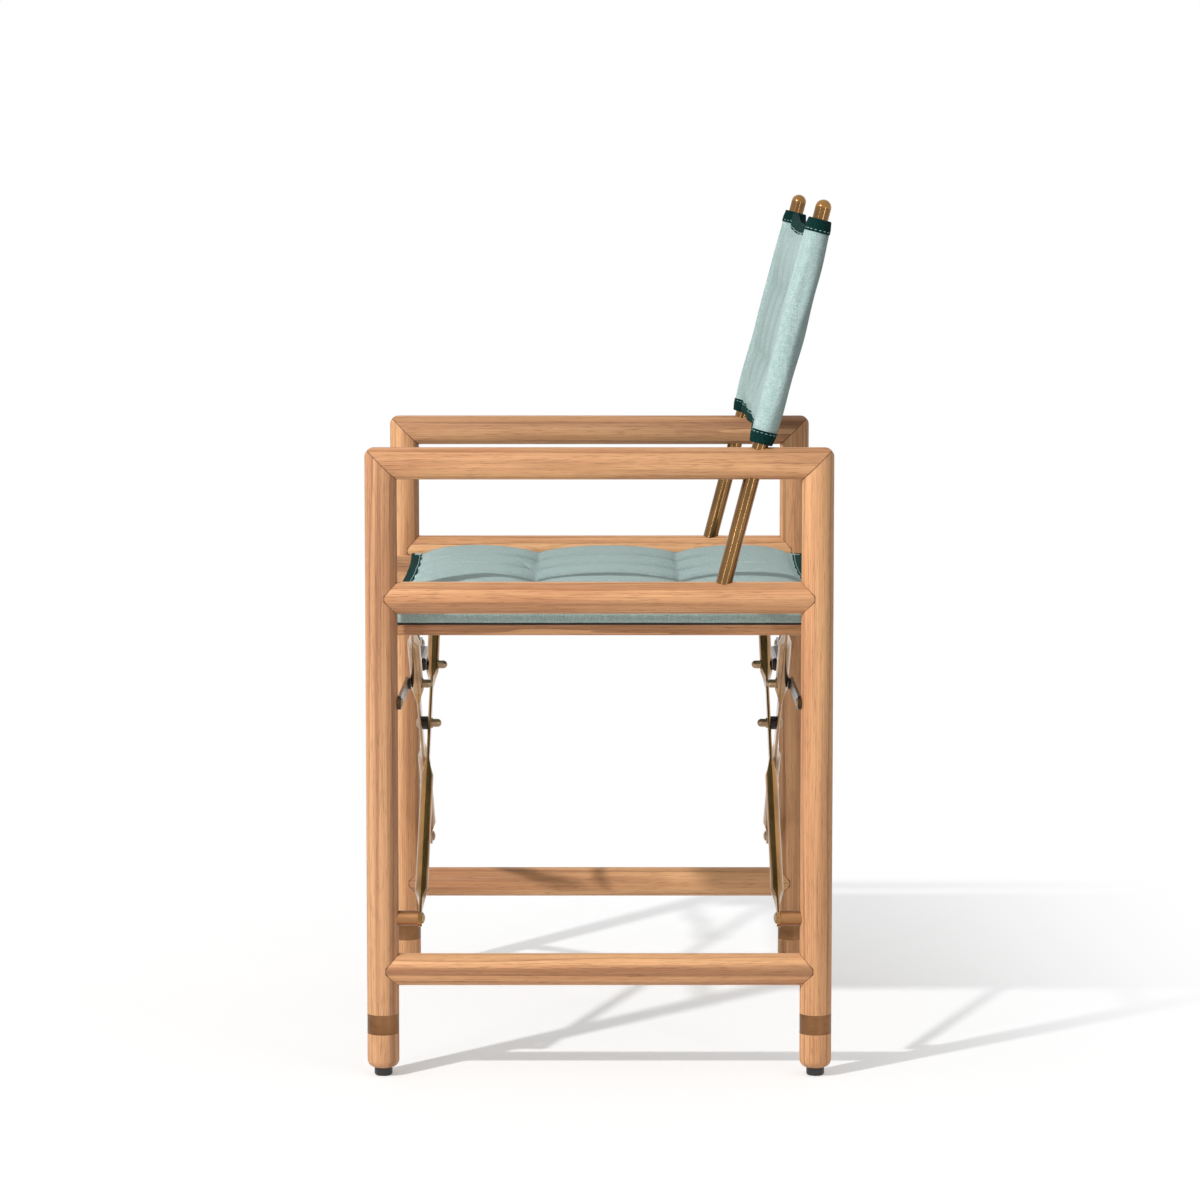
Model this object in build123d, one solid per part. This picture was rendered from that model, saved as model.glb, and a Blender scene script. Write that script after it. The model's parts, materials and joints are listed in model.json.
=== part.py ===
"""Folding directors chair: teak side frames, a brass cross brace, a quilted seat and a quilted back.

Units are millimetres. +Z is up and the origin is on the floor below the middle of the chair. The front of
the chair is at -Y. Right and left are as seen from the front, so the right frame is at +X.
"""
from build123d import *
from math import asin, atan2, copysign, cos, degrees, hypot, pi, radians, sin, sqrt, tan
import os

# Side frames: teak rods
ROD_R = 16.0
FRAME_X = 265.0
POST_Y = 217.0
LOWER_RAIL_Z = 107.5
SIDE_RAIL_Z = 482.0
ARM_Z = 616.0
CORNER_R = 10.0
FOOT_R = 8.5
COPE_TIP = 3.0

# Dowels hidden in the frame joints
DOWEL_R = 5.0
DOWEL_IN_POST = 12.0
DOWEL_IN_RAIL = 26.0
MITRE_DOWEL_R = 4.0
MITRE_DOWEL_HALF = 12.0

# Glides and ferrules at the feet
GLIDE_R = 9.0
GLIDE_H = 8.0
GLIDE_EDGE = 2.5
GLIDE_STEM_R = 3.0
GLIDE_STEM_L = 20.0
FERRULE_Z = 43.0
FERRULE_H = 20.0
FERRULE_T = 1.2

# Back tubes, their domed plugs and the fabric sleeves on them
TUBE_R = 8.0
TUBE_WALL = 1.2
TUBE_FIT = 0.05
TUBE_SHOW = 11.7
PLUG_STEM_L = 14.0
BACK_FOOT_Y = 120.0
BACK_LEAN = radians(14.6)
SLEEVE_T = 2.65
SLEEVE_FIT = 0.1
SLEEVE_LIFT = 0.8
BACK_H = 229.0

# Binding tape on every fabric edge
BINDING_W = 12.0
BINDING_T = 0.8
BINDING_ROUND = 2.4

# Cross bars: tubes pressed flat at the ends and at the crossing
BAR_R = 6.5
FLAT_HALF_W = 9.0
FLAT_T = 3.6
FLAT_CROWN = 0.1
FLAT_EDGE = 1.4
FLAT_TAPER = 20.0
END_FLAT = 21.0
MID_FLAT = 68.0
LOW_PIVOT_Z = 159.5
FOLD_DEG = 34.5

# Pivots of the cross bars
PIVOT_R = 3.0
RUN_FIT = 0.05
FACE_FIT = 0.1
BOSS_R = 7.5
BOSS_L = 10.2
SCREW_IN_POST = 12.0
HEAD_R = 5.6
HEAD_H = 3.0
HEAD_RIM_SHARE = 1 / 3
SPACER_R = 7.0
SPACER_L = 5.9
NUT_R = 4.3
NUT_H = 7.0
NUT_COLLAR_R = 5.4
NUT_COLLAR_H = 1.4

# Stay links between the posts and the cross bars
LINK_W = 14.0
LINK_T = 3.0
LINK_ALONG_BAR = 100.0
LINK_BEND_FROM = 62.0
LINK_BEND_L = 22.0
LINK_GAP = 0.3
LINK_SCREW_R = 2.5
LINK_HEAD_R = 4.6
LINK_HEAD_H = 2.4
LINK_WASHER_R = 6.0

# Seat rails
SEAT_RAIL_X = 205.0
SEAT_RAIL_TOP = 480.0
SEAT_RAIL_H = 41.0
SEAT_RAIL_T = 24.0
SEAT_RAIL_L = 456.0
SEAT_RAIL_EDGE = 2.5
SEAT_PIVOT_UP = 8.7
SLOT_FIT = 0.5
PIN_HALF = 14.0

# Quilted seat: heights are above the seat rails' tops
SEAT_FRONT_IN = 21.0
SEAT_REAR_IN = 4.0
SEAT_DRAW = 8.5
SEAT_TUFT_GAP = 151.0
SEAT_CROWN = 15.0
SEAT_CREASE = 9.5
SEAT_TUFT = 4.0
SEAT_END_CROWN = 12.5
SEAT_END_CREASE = 6.5
SEAT_UNDER = 7.0
SEAT_UNDER_CREASE = 5.5
SEAT_UNDER_TUFT = 4.5
SEAT_EDGE_UP = 2.0
SEAT_EDGE_DOWN = 4.0
WRAP_T = 1.8
WRAP_DROP = 28.0
WRAP_EDGE = 3.0
ROLL_END = 4.0

# Quilted back: heights are ahead of the plane through the two back tubes
BACK_CROWN = 10.0
BACK_CREASE = 6.0
BACK_TUFT = 1.5
BACK_END_CROWN = 6.0
BACK_REAR = 6.0
BACK_REAR_TUFT = 2.0
BACK_EDGE = 3.0
BACK_DRAW = 2.5

SOFT_GAP = 0.3

# Worked out from the sizes above
FRONT, REAR = -1, 1
RIGHT, LEFT = 1, -1
POST_FACE_Y = POST_Y - ROD_R
BAR_B_Y = POST_FACE_Y - BOSS_L - FLAT_T / 2
BAR_A_Y = BAR_B_Y - FLAT_T - SPACER_L
SEAT_PIVOT_Z = SEAT_RAIL_TOP - SEAT_RAIL_H + SEAT_PIVOT_UP
BAR_LEAN = atan2(FRAME_X + SEAT_RAIL_X, SEAT_PIVOT_Z - LOW_PIVOT_Z)
CROSS_Z = LOW_PIVOT_Z + FRAME_X / tan(BAR_LEAN)
BAR_LOW_L = FRAME_X / sin(BAR_LEAN)
BAR_HIGH_L = SEAT_RAIL_X / sin(BAR_LEAN)
SLEEVE_R = TUBE_R + SLEEVE_FIT + SLEEVE_T
BAND_R = SLEEVE_R + BINDING_T
SLEEVE_LOW = (ARM_Z + ROD_R - SIDE_RAIL_Z) / cos(BACK_LEAN) + BAND_R * tan(BACK_LEAN) + SLEEVE_LIFT
SLEEVE_HIGH = SLEEVE_LOW + BACK_H
TUBE_L = SLEEVE_HIGH + TUBE_SHOW
SEAT_RAIL_IN = SEAT_RAIL_X - SEAT_RAIL_T / 2
SEAT_RAIL_OUT = SEAT_RAIL_X + SEAT_RAIL_T / 2
SEAT_FRONT_Y = SEAT_FRONT_IN - SEAT_RAIL_L / 2
SEAT_REAR_Y = SEAT_RAIL_L / 2 - SEAT_REAR_IN
SEAT_MIDDLE_Y = (SEAT_FRONT_Y + SEAT_REAR_Y) / 2
SEAT_TUFTS_Y = (SEAT_MIDDLE_Y - SEAT_TUFT_GAP / 2, SEAT_MIDDLE_Y + SEAT_TUFT_GAP / 2)
WRAP_HEM_Z = SEAT_RAIL_TOP - WRAP_DROP


def link_pivots():
    """Heights and places of a right stay link's two ends, open, with the turn it makes while folding.

    The post end's height is the one at which the link has the same length open and folded.
    """
    folded = BAR_LEAN - radians(FOLD_DEG)
    open_x = LINK_ALONG_BAR * sin(BAR_LEAN)
    open_z = CROSS_Z + LINK_ALONG_BAR * cos(BAR_LEAN)
    shut_x = FRAME_X - BAR_LOW_L * sin(folded) + LINK_ALONG_BAR * sin(folded)
    shut_z = LOW_PIVOT_Z + BAR_LOW_L * cos(folded) + LINK_ALONG_BAR * cos(folded)
    open_run = FRAME_X - open_x
    shut_run = FRAME_X - shut_x
    post_z = (shut_run ** 2 + shut_z ** 2 - open_run ** 2 - open_z ** 2) / (2 * (shut_z - open_z))
    turn = atan2(shut_z - post_z, shut_run) - atan2(open_z - post_z, open_run)
    return open_x, open_z, post_z, degrees(turn)


LINK_X, LINK_Z, LINK_POST_Z, LINK_TURN = link_pivots()
LINK_L = hypot(FRAME_X - LINK_X, LINK_POST_Z - LINK_Z)


# Shared shapes


def rod(radius, start, end):
    """Round bar from one point to another."""
    axis = Vector(*end) - Vector(*start)
    shape = Cylinder(radius, axis.length, align=(Align.CENTER, Align.CENTER, Align.MIN))
    return Plane(origin=start, z_dir=axis) * shape


def ring(outer, inner, start, end):
    """Round bar with a bore."""
    return rod(outer, start, end) - rod(inner, start, end)


def group(solids):
    """Separate solids that share one node."""
    return Compound(children=[solid for shape in solids for solid in shape.solids()])


def turned(edges):
    """Solid turned about +Z from a closed outline in the XZ plane."""
    return revolve(make_face(edges), Axis.Z)


def headed_pin(radius, length, head_r, head_h):
    """Pin along +Z from the origin, with a head beyond its length: a short rim and a dome."""
    rim, crown = length + head_h * HEAD_RIM_SHARE, length + head_h
    dome_r = (head_r ** 2 + (crown - rim) ** 2) / (2 * (crown - rim))
    half_turn = asin(head_r / dome_r) / 2
    shoulder = (dome_r * sin(half_turn), 0, crown - dome_r * (1 - cos(half_turn)))
    outline = Polyline(
        (0, 0, 0), (radius, 0, 0), (radius, 0, length), (head_r, 0, length), (head_r, 0, rim)
    )
    dome = ThreePointArc((head_r, 0, rim), shoulder, (0, 0, crown))
    return turned([outline, dome, Line((0, 0, crown), (0, 0, 0))])


def cap_nut(start):
    """Cap nut along +Z from a height: a collar, a round body and a domed end."""
    collar = start + NUT_COLLAR_H
    body = collar + NUT_H - NUT_R / 2
    tip = body + NUT_R
    outline = Polyline(
        (0, 0, start),
        (NUT_COLLAR_R, 0, start),
        (NUT_COLLAR_R, 0, collar),
        (NUT_R, 0, collar),
        (NUT_R, 0, body),
    )
    bulge = (NUT_R * cos(radians(45)), 0, body + NUT_R * sin(radians(45)))
    dome = ThreePointArc((NUT_R, 0, body), bulge, (0, 0, tip))
    return turned([outline, dome, Line((0, 0, tip), (0, 0, start))])


def toward_middle(x, end, y, z):
    """Plane at a point on the front or rear side, whose normal points at the chair's middle."""
    return Plane(origin=(x, end * y, z), x_dir=(1, 0, 0), z_dir=(0, -end, 0))


# Side frames


def tube_axis(along, x):
    """Point on a back tube's axis, a distance up from the side rail's axis."""
    return (x, BACK_FOOT_Y + along * sin(BACK_LEAN), SIDE_RAIL_Z + along * cos(BACK_LEAN))


def mitre_plane(x, end):
    """Plane of the mitre between a post and the arm, facing the arm."""
    return Plane(origin=(x, end * POST_Y, ARM_Z), x_dir=(1, 0, 0), z_dir=(0, -end, 1))


def corner_waste(x, end):
    """What is rounded off the outer corner of a mitre, seen from the side."""
    centre = (x, end * (POST_Y + ROD_R - CORNER_R), ARM_Z + ROD_R - CORNER_R)
    block = Box(4 * ROD_R, 2 * CORNER_R, 2 * CORNER_R) - Rot(0, 90, 0) * Cylinder(CORNER_R, 4 * ROD_R)
    outer = Pos(0, end * CORNER_R, CORNER_R) * Box(4 * ROD_R, 2 * CORNER_R, 2 * CORNER_R)
    return Pos(*centre) * (block & outer)


def rail_dowel(x, end, z):
    """Dowel between a rail's end and its post."""
    return rod(
        DOWEL_R, (x, end * (POST_FACE_Y - DOWEL_IN_RAIL), z), (x, end * (POST_FACE_Y + DOWEL_IN_POST), z)
    )


def mitre_dowel(x, end):
    """Dowel across a mitre, square to its plane."""
    shape = Cylinder(MITRE_DOWEL_R, 2 * MITRE_DOWEL_HALF)
    return mitre_plane(x, end) * shape


def frame_dowels(x):
    """All the dowels of one side frame."""
    rails = [rail_dowel(x, end, z) for end in (FRONT, REAR) for z in (LOWER_RAIL_Z, SIDE_RAIL_Z)]
    return rails + [mitre_dowel(x, end) for end in (FRONT, REAR)]


def pivot_screw(x, end, bar_y):
    """Shouldered screw that a cross bar's lower end turns on, from the post through its boss."""
    length = POST_FACE_Y + SCREW_IN_POST - bar_y + FLAT_T / 2 + FACE_FIT
    pin = headed_pin(PIVOT_R, length, HEAD_R, HEAD_H)
    return toward_middle(x, end, POST_FACE_Y + SCREW_IN_POST, LOW_PIVOT_Z) * pin


def link_screw(x, end):
    """Screw that a stay link turns on, in the post's inner face."""
    length = SCREW_IN_POST + LINK_GAP + LINK_T + FACE_FIT
    pin = headed_pin(LINK_SCREW_R, length, LINK_HEAD_R, LINK_HEAD_H)
    return toward_middle(x, end, POST_FACE_Y + SCREW_IN_POST, LINK_POST_Z) * pin


def pivot_boss(x, end, bar_y):
    """Boss between a post and a cross bar's lower end, seated on the round post."""
    tip = end * (bar_y + FLAT_T / 2 + FACE_FIT)
    boss = rod(BOSS_R, (x, end * POST_Y, LOW_PIVOT_Z), (x, tip, LOW_PIVOT_Z))
    return boss - post_rod(x, end) - pivot_screw(x, end, bar_y)


def post_rod(x, end):
    """Round blank of a post."""
    return rod(ROD_R, (x, end * POST_Y, GLIDE_H), (x, end * POST_Y, ARM_Z + ROD_R))


def ferrule(x, end):
    """Brass ring, flush with the post."""
    low, high = (x, end * POST_Y, FERRULE_Z), (x, end * POST_Y, FERRULE_Z + FERRULE_H)
    return ring(ROD_R, ROD_R - FERRULE_T, low, high)


def glide(x, end):
    """Round glide with a stem up into the post."""
    flat = GLIDE_R - GLIDE_EDGE
    bevel = GLIDE_EDGE * sin(radians(45))
    edge = ThreePointArc((flat, 0, 0), (flat + bevel, 0, GLIDE_EDGE - bevel), (GLIDE_R, 0, GLIDE_EDGE))
    stem_top = GLIDE_H + GLIDE_STEM_L
    rest = Polyline(
        (GLIDE_R, 0, GLIDE_EDGE),
        (GLIDE_R, 0, GLIDE_H),
        (GLIDE_STEM_R, 0, GLIDE_H),
        (GLIDE_STEM_R, 0, stem_top),
        (0, 0, stem_top),
        (0, 0, 0),
        (flat, 0, 0),
    )
    return Pos(x, end * POST_Y, 0) * turned([edge, rest])


def post(x, end, bar_y):
    """Post with its rounded foot, mitred top, ferrule groove and fastener holes."""
    body = post_rod(x, end)
    body = fillet(body.edges().sort_by(Axis.Z)[0], FOOT_R)
    body = split(body, mitre_plane(x, end), keep=Keep.BOTTOM)
    groove_low, groove_high = (x, end * POST_Y, FERRULE_Z), (x, end * POST_Y, FERRULE_Z + FERRULE_H)
    body -= ring(2 * ROD_R, ROD_R - FERRULE_T, groove_low, groove_high)
    for waste in frame_dowels(x):
        body -= waste
    body -= corner_waste(x, end)
    body -= glide(x, end)
    body -= pivot_screw(x, end, bar_y)
    body -= link_screw(x, end)
    return body


def tube_hole(x, low, high):
    """Hole for a back tube."""
    return rod(TUBE_R + TUBE_FIT, tube_axis(low, x), tube_axis(high, x))


def arm(x):
    """Arm, mitred to both posts, with the back tube's hole."""
    reach = POST_Y + ROD_R
    body = rod(ROD_R, (x, -reach, ARM_Z), (x, reach, ARM_Z))
    for end in (FRONT, REAR):
        body = split(body, mitre_plane(x, end), keep=Keep.TOP)
        body -= corner_waste(x, end)
        body -= mitre_dowel(x, end)
    return body - tube_hole(x, 0, TUBE_L)


def rail(x, z):
    """Rail between the posts, coped to them, its tips blunted."""
    reach = POST_Y - COPE_TIP
    body = rod(ROD_R, (x, -reach, z), (x, reach, z))
    for end in (FRONT, REAR):
        body -= post_rod(x, end)
        body -= rail_dowel(x, end, z)
    return body


def side_rail(x):
    """Rail at seat height, with a blind hole for the back tube."""
    return rail(x, SIDE_RAIL_Z) - tube_hole(x, 0, 2 * ROD_R)


def back_tube(x):
    """Back tube, from the side rail's axis up through the arm."""
    return ring(TUBE_R, TUBE_R - TUBE_WALL, tube_axis(0, x), tube_axis(TUBE_L, x))


def back_plug(x):
    """Domed plug in the top of a back tube."""
    stem_r = TUBE_R - TUBE_WALL
    outline = Polyline(
        (0, 0, -PLUG_STEM_L), (stem_r, 0, -PLUG_STEM_L), (stem_r, 0, 0), (TUBE_R, 0, 0)
    )
    bulge = TUBE_R * sin(radians(45))
    dome = ThreePointArc((TUBE_R, 0, 0), (bulge, 0, bulge), (0, 0, TUBE_R))
    plug = turned([outline, dome, Line((0, 0, TUBE_R), (0, 0, -PLUG_STEM_L))])
    top = Vector(*tube_axis(TUBE_L, x))
    return Plane(origin=top, z_dir=top - Vector(*tube_axis(0, x))) * plug


def back_sleeve(x):
    """Fabric sleeve on a back tube."""
    inner = TUBE_R + SLEEVE_FIT
    return ring(SLEEVE_R, inner, tube_axis(SLEEVE_LOW, x), tube_axis(SLEEVE_HIGH, x))


def sleeve_bands(x):
    """Binding round the sleeve's two ends."""
    spans = ((SLEEVE_LOW, SLEEVE_LOW + BINDING_W), (SLEEVE_HIGH - BINDING_W, SLEEVE_HIGH))
    return [ring(BAND_R, SLEEVE_R, tube_axis(low, x), tube_axis(high, x)) for low, high in spans]


def side_frame(side, bar_y):
    """Every node of one side frame, by its name without the side."""
    x = side * FRAME_X
    ends = (FRONT, REAR)
    return {
        "front_post": post(x, FRONT, bar_y),
        "rear_post": post(x, REAR, bar_y),
        "arm": arm(x),
        "side_rail": side_rail(x),
        "lower_rail": rail(x, LOWER_RAIL_Z),
        "frame_dowels": group(frame_dowels(x)),
        "ferrules": group(ferrule(x, end) for end in ends),
        "glides": group(glide(x, end) for end in ends),
        "pivot_bosses": group(pivot_boss(x, end, bar_y) for end in ends),
        "pivot_screws": group(pivot_screw(x, end, bar_y) for end in ends),
        "link_screws": group(link_screw(x, end) for end in ends),
        "back_tube": back_tube(x),
        "back_plug": back_plug(x),
        "back_sleeve": back_sleeve(x),
        "sleeve_bands": group(sleeve_bands(x)),
    }


# Cross brace


def bar_section(half_w, half_t, corner_w, corner_t, along):
    """Cross-section of a bar: four arcs, round or pressed flat."""
    first, second = (corner_w, -corner_t, along), (corner_w, corner_t, along)
    third, fourth = (-corner_w, corner_t, along), (-corner_w, -corner_t, along)
    return make_face(
        [
            ThreePointArc(first, (half_w, 0, along), second),
            ThreePointArc(second, (0, half_t, along), third),
            ThreePointArc(third, (-half_w, 0, along), fourth),
            ThreePointArc(fourth, (0, -half_t, along), first),
        ]
    )


def round_section(along):
    """Section of the bar where it is a round tube."""
    corner = BAR_R * sqrt(0.5)
    return bar_section(BAR_R, BAR_R, corner, corner, along)


def flat_section(along):
    """Section of the bar where it is pressed flat."""
    return bar_section(FLAT_HALF_W, FLAT_T / 2, FLAT_HALF_W - FLAT_EDGE, FLAT_T / 2 - FLAT_CROWN, along)


def bar_stretch(section, low, high):
    """Straight stretch of a bar."""
    return extrude(section(low), amount=high - low, dir=(0, 0, 1))


def straight_bar():
    """Bar along +Z with its crossing at the origin: flats at both ends and at the crossing."""
    low, high = -BAR_LOW_L, BAR_HIGH_L
    tapers = (
        (low + END_FLAT, low + END_FLAT + FLAT_TAPER),
        (-MID_FLAT, -MID_FLAT - FLAT_TAPER),
        (MID_FLAT, MID_FLAT + FLAT_TAPER),
        (high - END_FLAT, high - END_FLAT - FLAT_TAPER),
    )
    body = bar_stretch(flat_section, -MID_FLAT, MID_FLAT)
    for flat_at, round_at in tapers:
        body += loft([flat_section(flat_at), round_section(round_at)])
    body += bar_stretch(round_section, tapers[0][1], tapers[1][1])
    body += bar_stretch(round_section, tapers[2][1], tapers[3][1])
    for pivot, inner in ((low, low + END_FLAT), (high, high - END_FLAT)):
        outer = pivot + (pivot - inner) / END_FLAT * FLAT_HALF_W
        flat = bar_stretch(flat_section, min(inner, outer), max(inner, outer))
        round_end = Pos(0, 0, pivot) * Rot(90, 0, 0) * Cylinder(FLAT_HALF_W, 2 * FLAT_T)
        square_end = Pos(0, 0, (pivot + inner) / 2) * Box(4 * FLAT_HALF_W, 2 * FLAT_T, END_FLAT)
        body += flat & (round_end + square_end)
    return body


def cross_bar(end, bar_y, lean, crossing_fit, stud_side):
    """Cross bar in its place, with its pivot holes and the hole for its stay link's stud."""
    bar = straight_bar()
    for along, radius in (
        (-BAR_LOW_L, PIVOT_R + RUN_FIT),
        (0, PIVOT_R + crossing_fit),
        (BAR_HIGH_L, PIVOT_R + RUN_FIT),
    ):
        bar -= Pos(0, 0, along) * Rot(90, 0, 0) * Cylinder(radius, 2 * BAR_R)
    bar = Pos(0, end * bar_y, CROSS_Z) * Rot(0, degrees(lean), 0) * bar
    return bar - link_stud_shank(stud_side, end, bar_y)


def centre_bolt(end):
    """Bolt through both bars at their crossing, its head on the outer bar."""
    length = BAR_B_Y - BAR_A_Y + FLAT_T + FACE_FIT + NUT_COLLAR_H + NUT_H / 2
    pin = headed_pin(PIVOT_R, length, HEAD_R, HEAD_H)
    start = BAR_A_Y - FLAT_T / 2 - NUT_COLLAR_H - NUT_H / 2
    return Plane(origin=(0, end * start, CROSS_Z), x_dir=(1, 0, 0), z_dir=(0, end, 0)) * pin


def centre_spacer(end):
    """Spacer between the two bars at their crossing."""
    low = end * (BAR_A_Y + FLAT_T / 2)
    high = end * (BAR_B_Y - FLAT_T / 2 - FACE_FIT)
    return ring(SPACER_R, PIVOT_R, (0, low, CROSS_Z), (0, high, CROSS_Z))


def centre_nut(end):
    """Cap nut on the centre bolt, against the inner bar."""
    return toward_middle(0, end, BAR_A_Y - FLAT_T / 2, CROSS_Z) * cap_nut(0) - centre_bolt(end)


def link_stud_shank(side, end, bar_y):
    """Shank of a stay link's stud, through the bar's tube."""
    outer, inner = end * (bar_y + BAR_R), end * (bar_y - BAR_R)
    return rod(LINK_SCREW_R, (side * LINK_X, outer, LINK_Z), (side * LINK_X, inner, LINK_Z))


def link_stud(side, end, bar_y):
    """Stud through a bar's tube with its cap nut on the inner side."""
    nut = toward_middle(side * LINK_X, end, bar_y, LINK_Z) * cap_nut(BAR_R - NUT_COLLAR_H)
    along = Vector(side * sin(BAR_LEAN), 0, cos(BAR_LEAN)) * FLAT_HALF_W
    middle = Vector(side * LINK_X, end * bar_y, LINK_Z)
    nut -= rod(BAR_R, middle - along, middle + along)
    return nut + link_stud_shank(side, end, bar_y)


# Stay links


def link_plane(side, end):
    """Plane on the post's inner face at a link's screw, X along the link and Z to the chair's middle."""
    run = Vector(side * (LINK_X - FRAME_X), 0, LINK_Z - LINK_POST_Z)
    return Plane(origin=(side * FRAME_X, end * POST_FACE_Y, LINK_POST_Z), x_dir=run, z_dir=(0, -end, 0))


def stay_link(side, end, joggle):
    """Flat link with round ends, bent inwards by the joggle to reach the inner bar."""
    low, high = LINK_GAP, LINK_GAP + LINK_T
    tip = LINK_L + LINK_W
    bend_end = LINK_BEND_FROM + LINK_BEND_L
    outline = Polyline(
        (-LINK_W, 0, low),
        (LINK_BEND_FROM, 0, low),
        (bend_end, 0, low + joggle),
        (tip, 0, low + joggle),
        (tip, 0, high + joggle),
        (bend_end, 0, high + joggle),
        (LINK_BEND_FROM, 0, high),
        (-LINK_W, 0, high),
        close=True,
    )
    strip = extrude(make_face(outline), amount=LINK_W, dir=(0, 1, 0), both=True)
    plan = Pos(LINK_L / 2, 0, 0) * SlotCenterToCenter(LINK_L, LINK_W)
    body = strip & extrude(plan, amount=high + joggle + LINK_T)
    body -= Cylinder(LINK_SCREW_R + RUN_FIT, 4 * LINK_T)
    body -= Pos(LINK_L, 0, joggle) * Cylinder(LINK_SCREW_R, 4 * LINK_T)
    return link_plane(side, end) * body


def washer_span(joggle, bar_y):
    """Heights of a link's washer above the post's face: from the link to just short of the tube."""
    return LINK_GAP + LINK_T + joggle, POST_FACE_Y - bar_y - BAR_R - LINK_GAP


def link_washer(side, end, joggle, bar_y):
    """Washer between a link and the bar's tube."""
    low, high = washer_span(joggle, bar_y)
    body = ring(LINK_WASHER_R, LINK_SCREW_R, (LINK_L, 0, low), (LINK_L, 0, high))
    return link_plane(side, end) * body


def link_bolt(side, end, joggle, bar_y):
    """Round-headed bolt through a link's bar end and its washer."""
    low, high = LINK_GAP + joggle, washer_span(joggle, bar_y)[1]
    pin = headed_pin(LINK_SCREW_R, high - low, LINK_HEAD_R, LINK_HEAD_H)
    place = Plane(origin=(LINK_L, 0, high), x_dir=(1, 0, 0), z_dir=(0, 0, -1))
    return link_plane(side, end) * (place * pin)


def stay_links(side, joggle, bar_y):
    """The stay link nodes of one side, by their names without the side."""
    ends = (FRONT, REAR)
    return {
        "stay_links": group(stay_link(side, end, joggle) for end in ends),
        "link_bolts": group(link_bolt(side, end, joggle, bar_y) for end in ends),
        "link_washers": group(link_washer(side, end, joggle, bar_y) for end in ends),
    }


# Seat rails


def seat_pin(side, end, bar_y):
    """Pin that a cross bar's top turns on, driven in from the seat rail's end."""
    outer = end * (bar_y + PIN_HALF)
    inner = end * (bar_y - PIN_HALF)
    x = side * SEAT_RAIL_X
    return rod(PIVOT_R, (x, outer, SEAT_PIVOT_Z), (x, inner, SEAT_PIVOT_Z))


def seat_slot(side, end, bar_y):
    """Slot in the seat rail for a cross bar's top end, open below and to the middle."""
    reach = FLAT_HALF_W + SLOT_FIT
    inner = SEAT_RAIL_X - SEAT_RAIL_T
    outer = SEAT_RAIL_X + reach
    low = SEAT_RAIL_TOP - 2 * SEAT_RAIL_H
    high = SEAT_PIVOT_Z + reach
    block = Box(outer - inner, FLAT_T + 2 * SLOT_FIT, high - low)
    return Pos(side * (inner + outer) / 2, end * bar_y, (low + high) / 2) * block


def seat_rail(side, bar_y):
    """Seat rail with its two slots and pin holes."""
    block = Box(SEAT_RAIL_T, SEAT_RAIL_L, SEAT_RAIL_H)
    block = fillet(block.edges().filter_by(Axis.Y), SEAT_RAIL_EDGE)
    body = Pos(side * SEAT_RAIL_X, 0, SEAT_RAIL_TOP - SEAT_RAIL_H / 2) * block
    for end in (FRONT, REAR):
        body -= seat_slot(side, end, bar_y)
        hole_out = end * SEAT_RAIL_L / 2
        hole_in = end * (bar_y - PIN_HALF)
        x = side * SEAT_RAIL_X
        body -= rod(PIVOT_R, (x, hole_out, SEAT_PIVOT_Z), (x, hole_in, SEAT_PIVOT_Z))
    return body


def seat_wrap(side):
    """Seat fabric turned over the rail's top and down its outer face to a hem."""
    top = SEAT_RAIL_TOP
    inner, outer = side * SEAT_RAIL_IN, side * SEAT_RAIL_OUT
    outer_skin = side * (SEAT_RAIL_OUT + WRAP_T)
    outline = Polyline(
        (inner, SEAT_FRONT_Y, top),
        (inner, SEAT_FRONT_Y, top + WRAP_T),
        (outer_skin, SEAT_FRONT_Y, top + WRAP_T),
        (outer_skin, SEAT_FRONT_Y, WRAP_HEM_Z),
        (outer, SEAT_FRONT_Y, WRAP_HEM_Z),
        (outer, SEAT_FRONT_Y, top),
        close=True,
    )
    body = extrude(make_face(outline), amount=SEAT_REAR_Y - SEAT_FRONT_Y, dir=(0, 1, 0))
    outer_edges = body.edges().filter_by(Axis.Y).group_by(Axis.Z)[-1].sort_by(Axis.X)
    body = fillet(outer_edges[-1 if side == RIGHT else 0], WRAP_EDGE)
    return body + seat_roll(side)


def roll_section(x, share):
    """Section of the padding on a seat rail, with a share of its full heights above the wrap."""
    place = seat_place(x)
    base = WRAP_T / 2
    full = (SEAT_END_CROWN, SEAT_END_CREASE, ROLL_END)
    crown, crease, end = (WRAP_T + share * (height - WRAP_T) for height in full)
    above = [(SEAT_FRONT_Y, end), *((y, crease) for y in SEAT_TUFTS_Y), (SEAT_REAR_Y, end)]
    return make_face(
        [
            *arc_chain(above, crown, place),
            Line(place(SEAT_REAR_Y, end), place(SEAT_REAR_Y, base)),
            Line(place(SEAT_REAR_Y, base), place(SEAT_FRONT_Y, base)),
            Line(place(SEAT_FRONT_Y, base), place(SEAT_FRONT_Y, end)),
        ]
    )


def seat_roll(side):
    """The seat's padding where it lies on a rail, rounded off towards the rail's outer edge."""
    width = SEAT_RAIL_T + WRAP_T - WRAP_EDGE
    sections = [
        roll_section(side * (SEAT_RAIL_IN + width * sin(radians(turn))), cos(radians(turn)))
        for turn in (0, 30, 55, 80)
    ]
    return loft(sections)


def seat_rails(side, bar_y):
    """The seat rail nodes of one side, by their names without the side."""
    return {
        "seat_rail": seat_rail(side, bar_y),
        "seat_rail_pins": group(seat_pin(side, end, bar_y) for end in (FRONT, REAR)),
        "seat_wrap": seat_wrap(side),
    }


# Quilted panels


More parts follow.
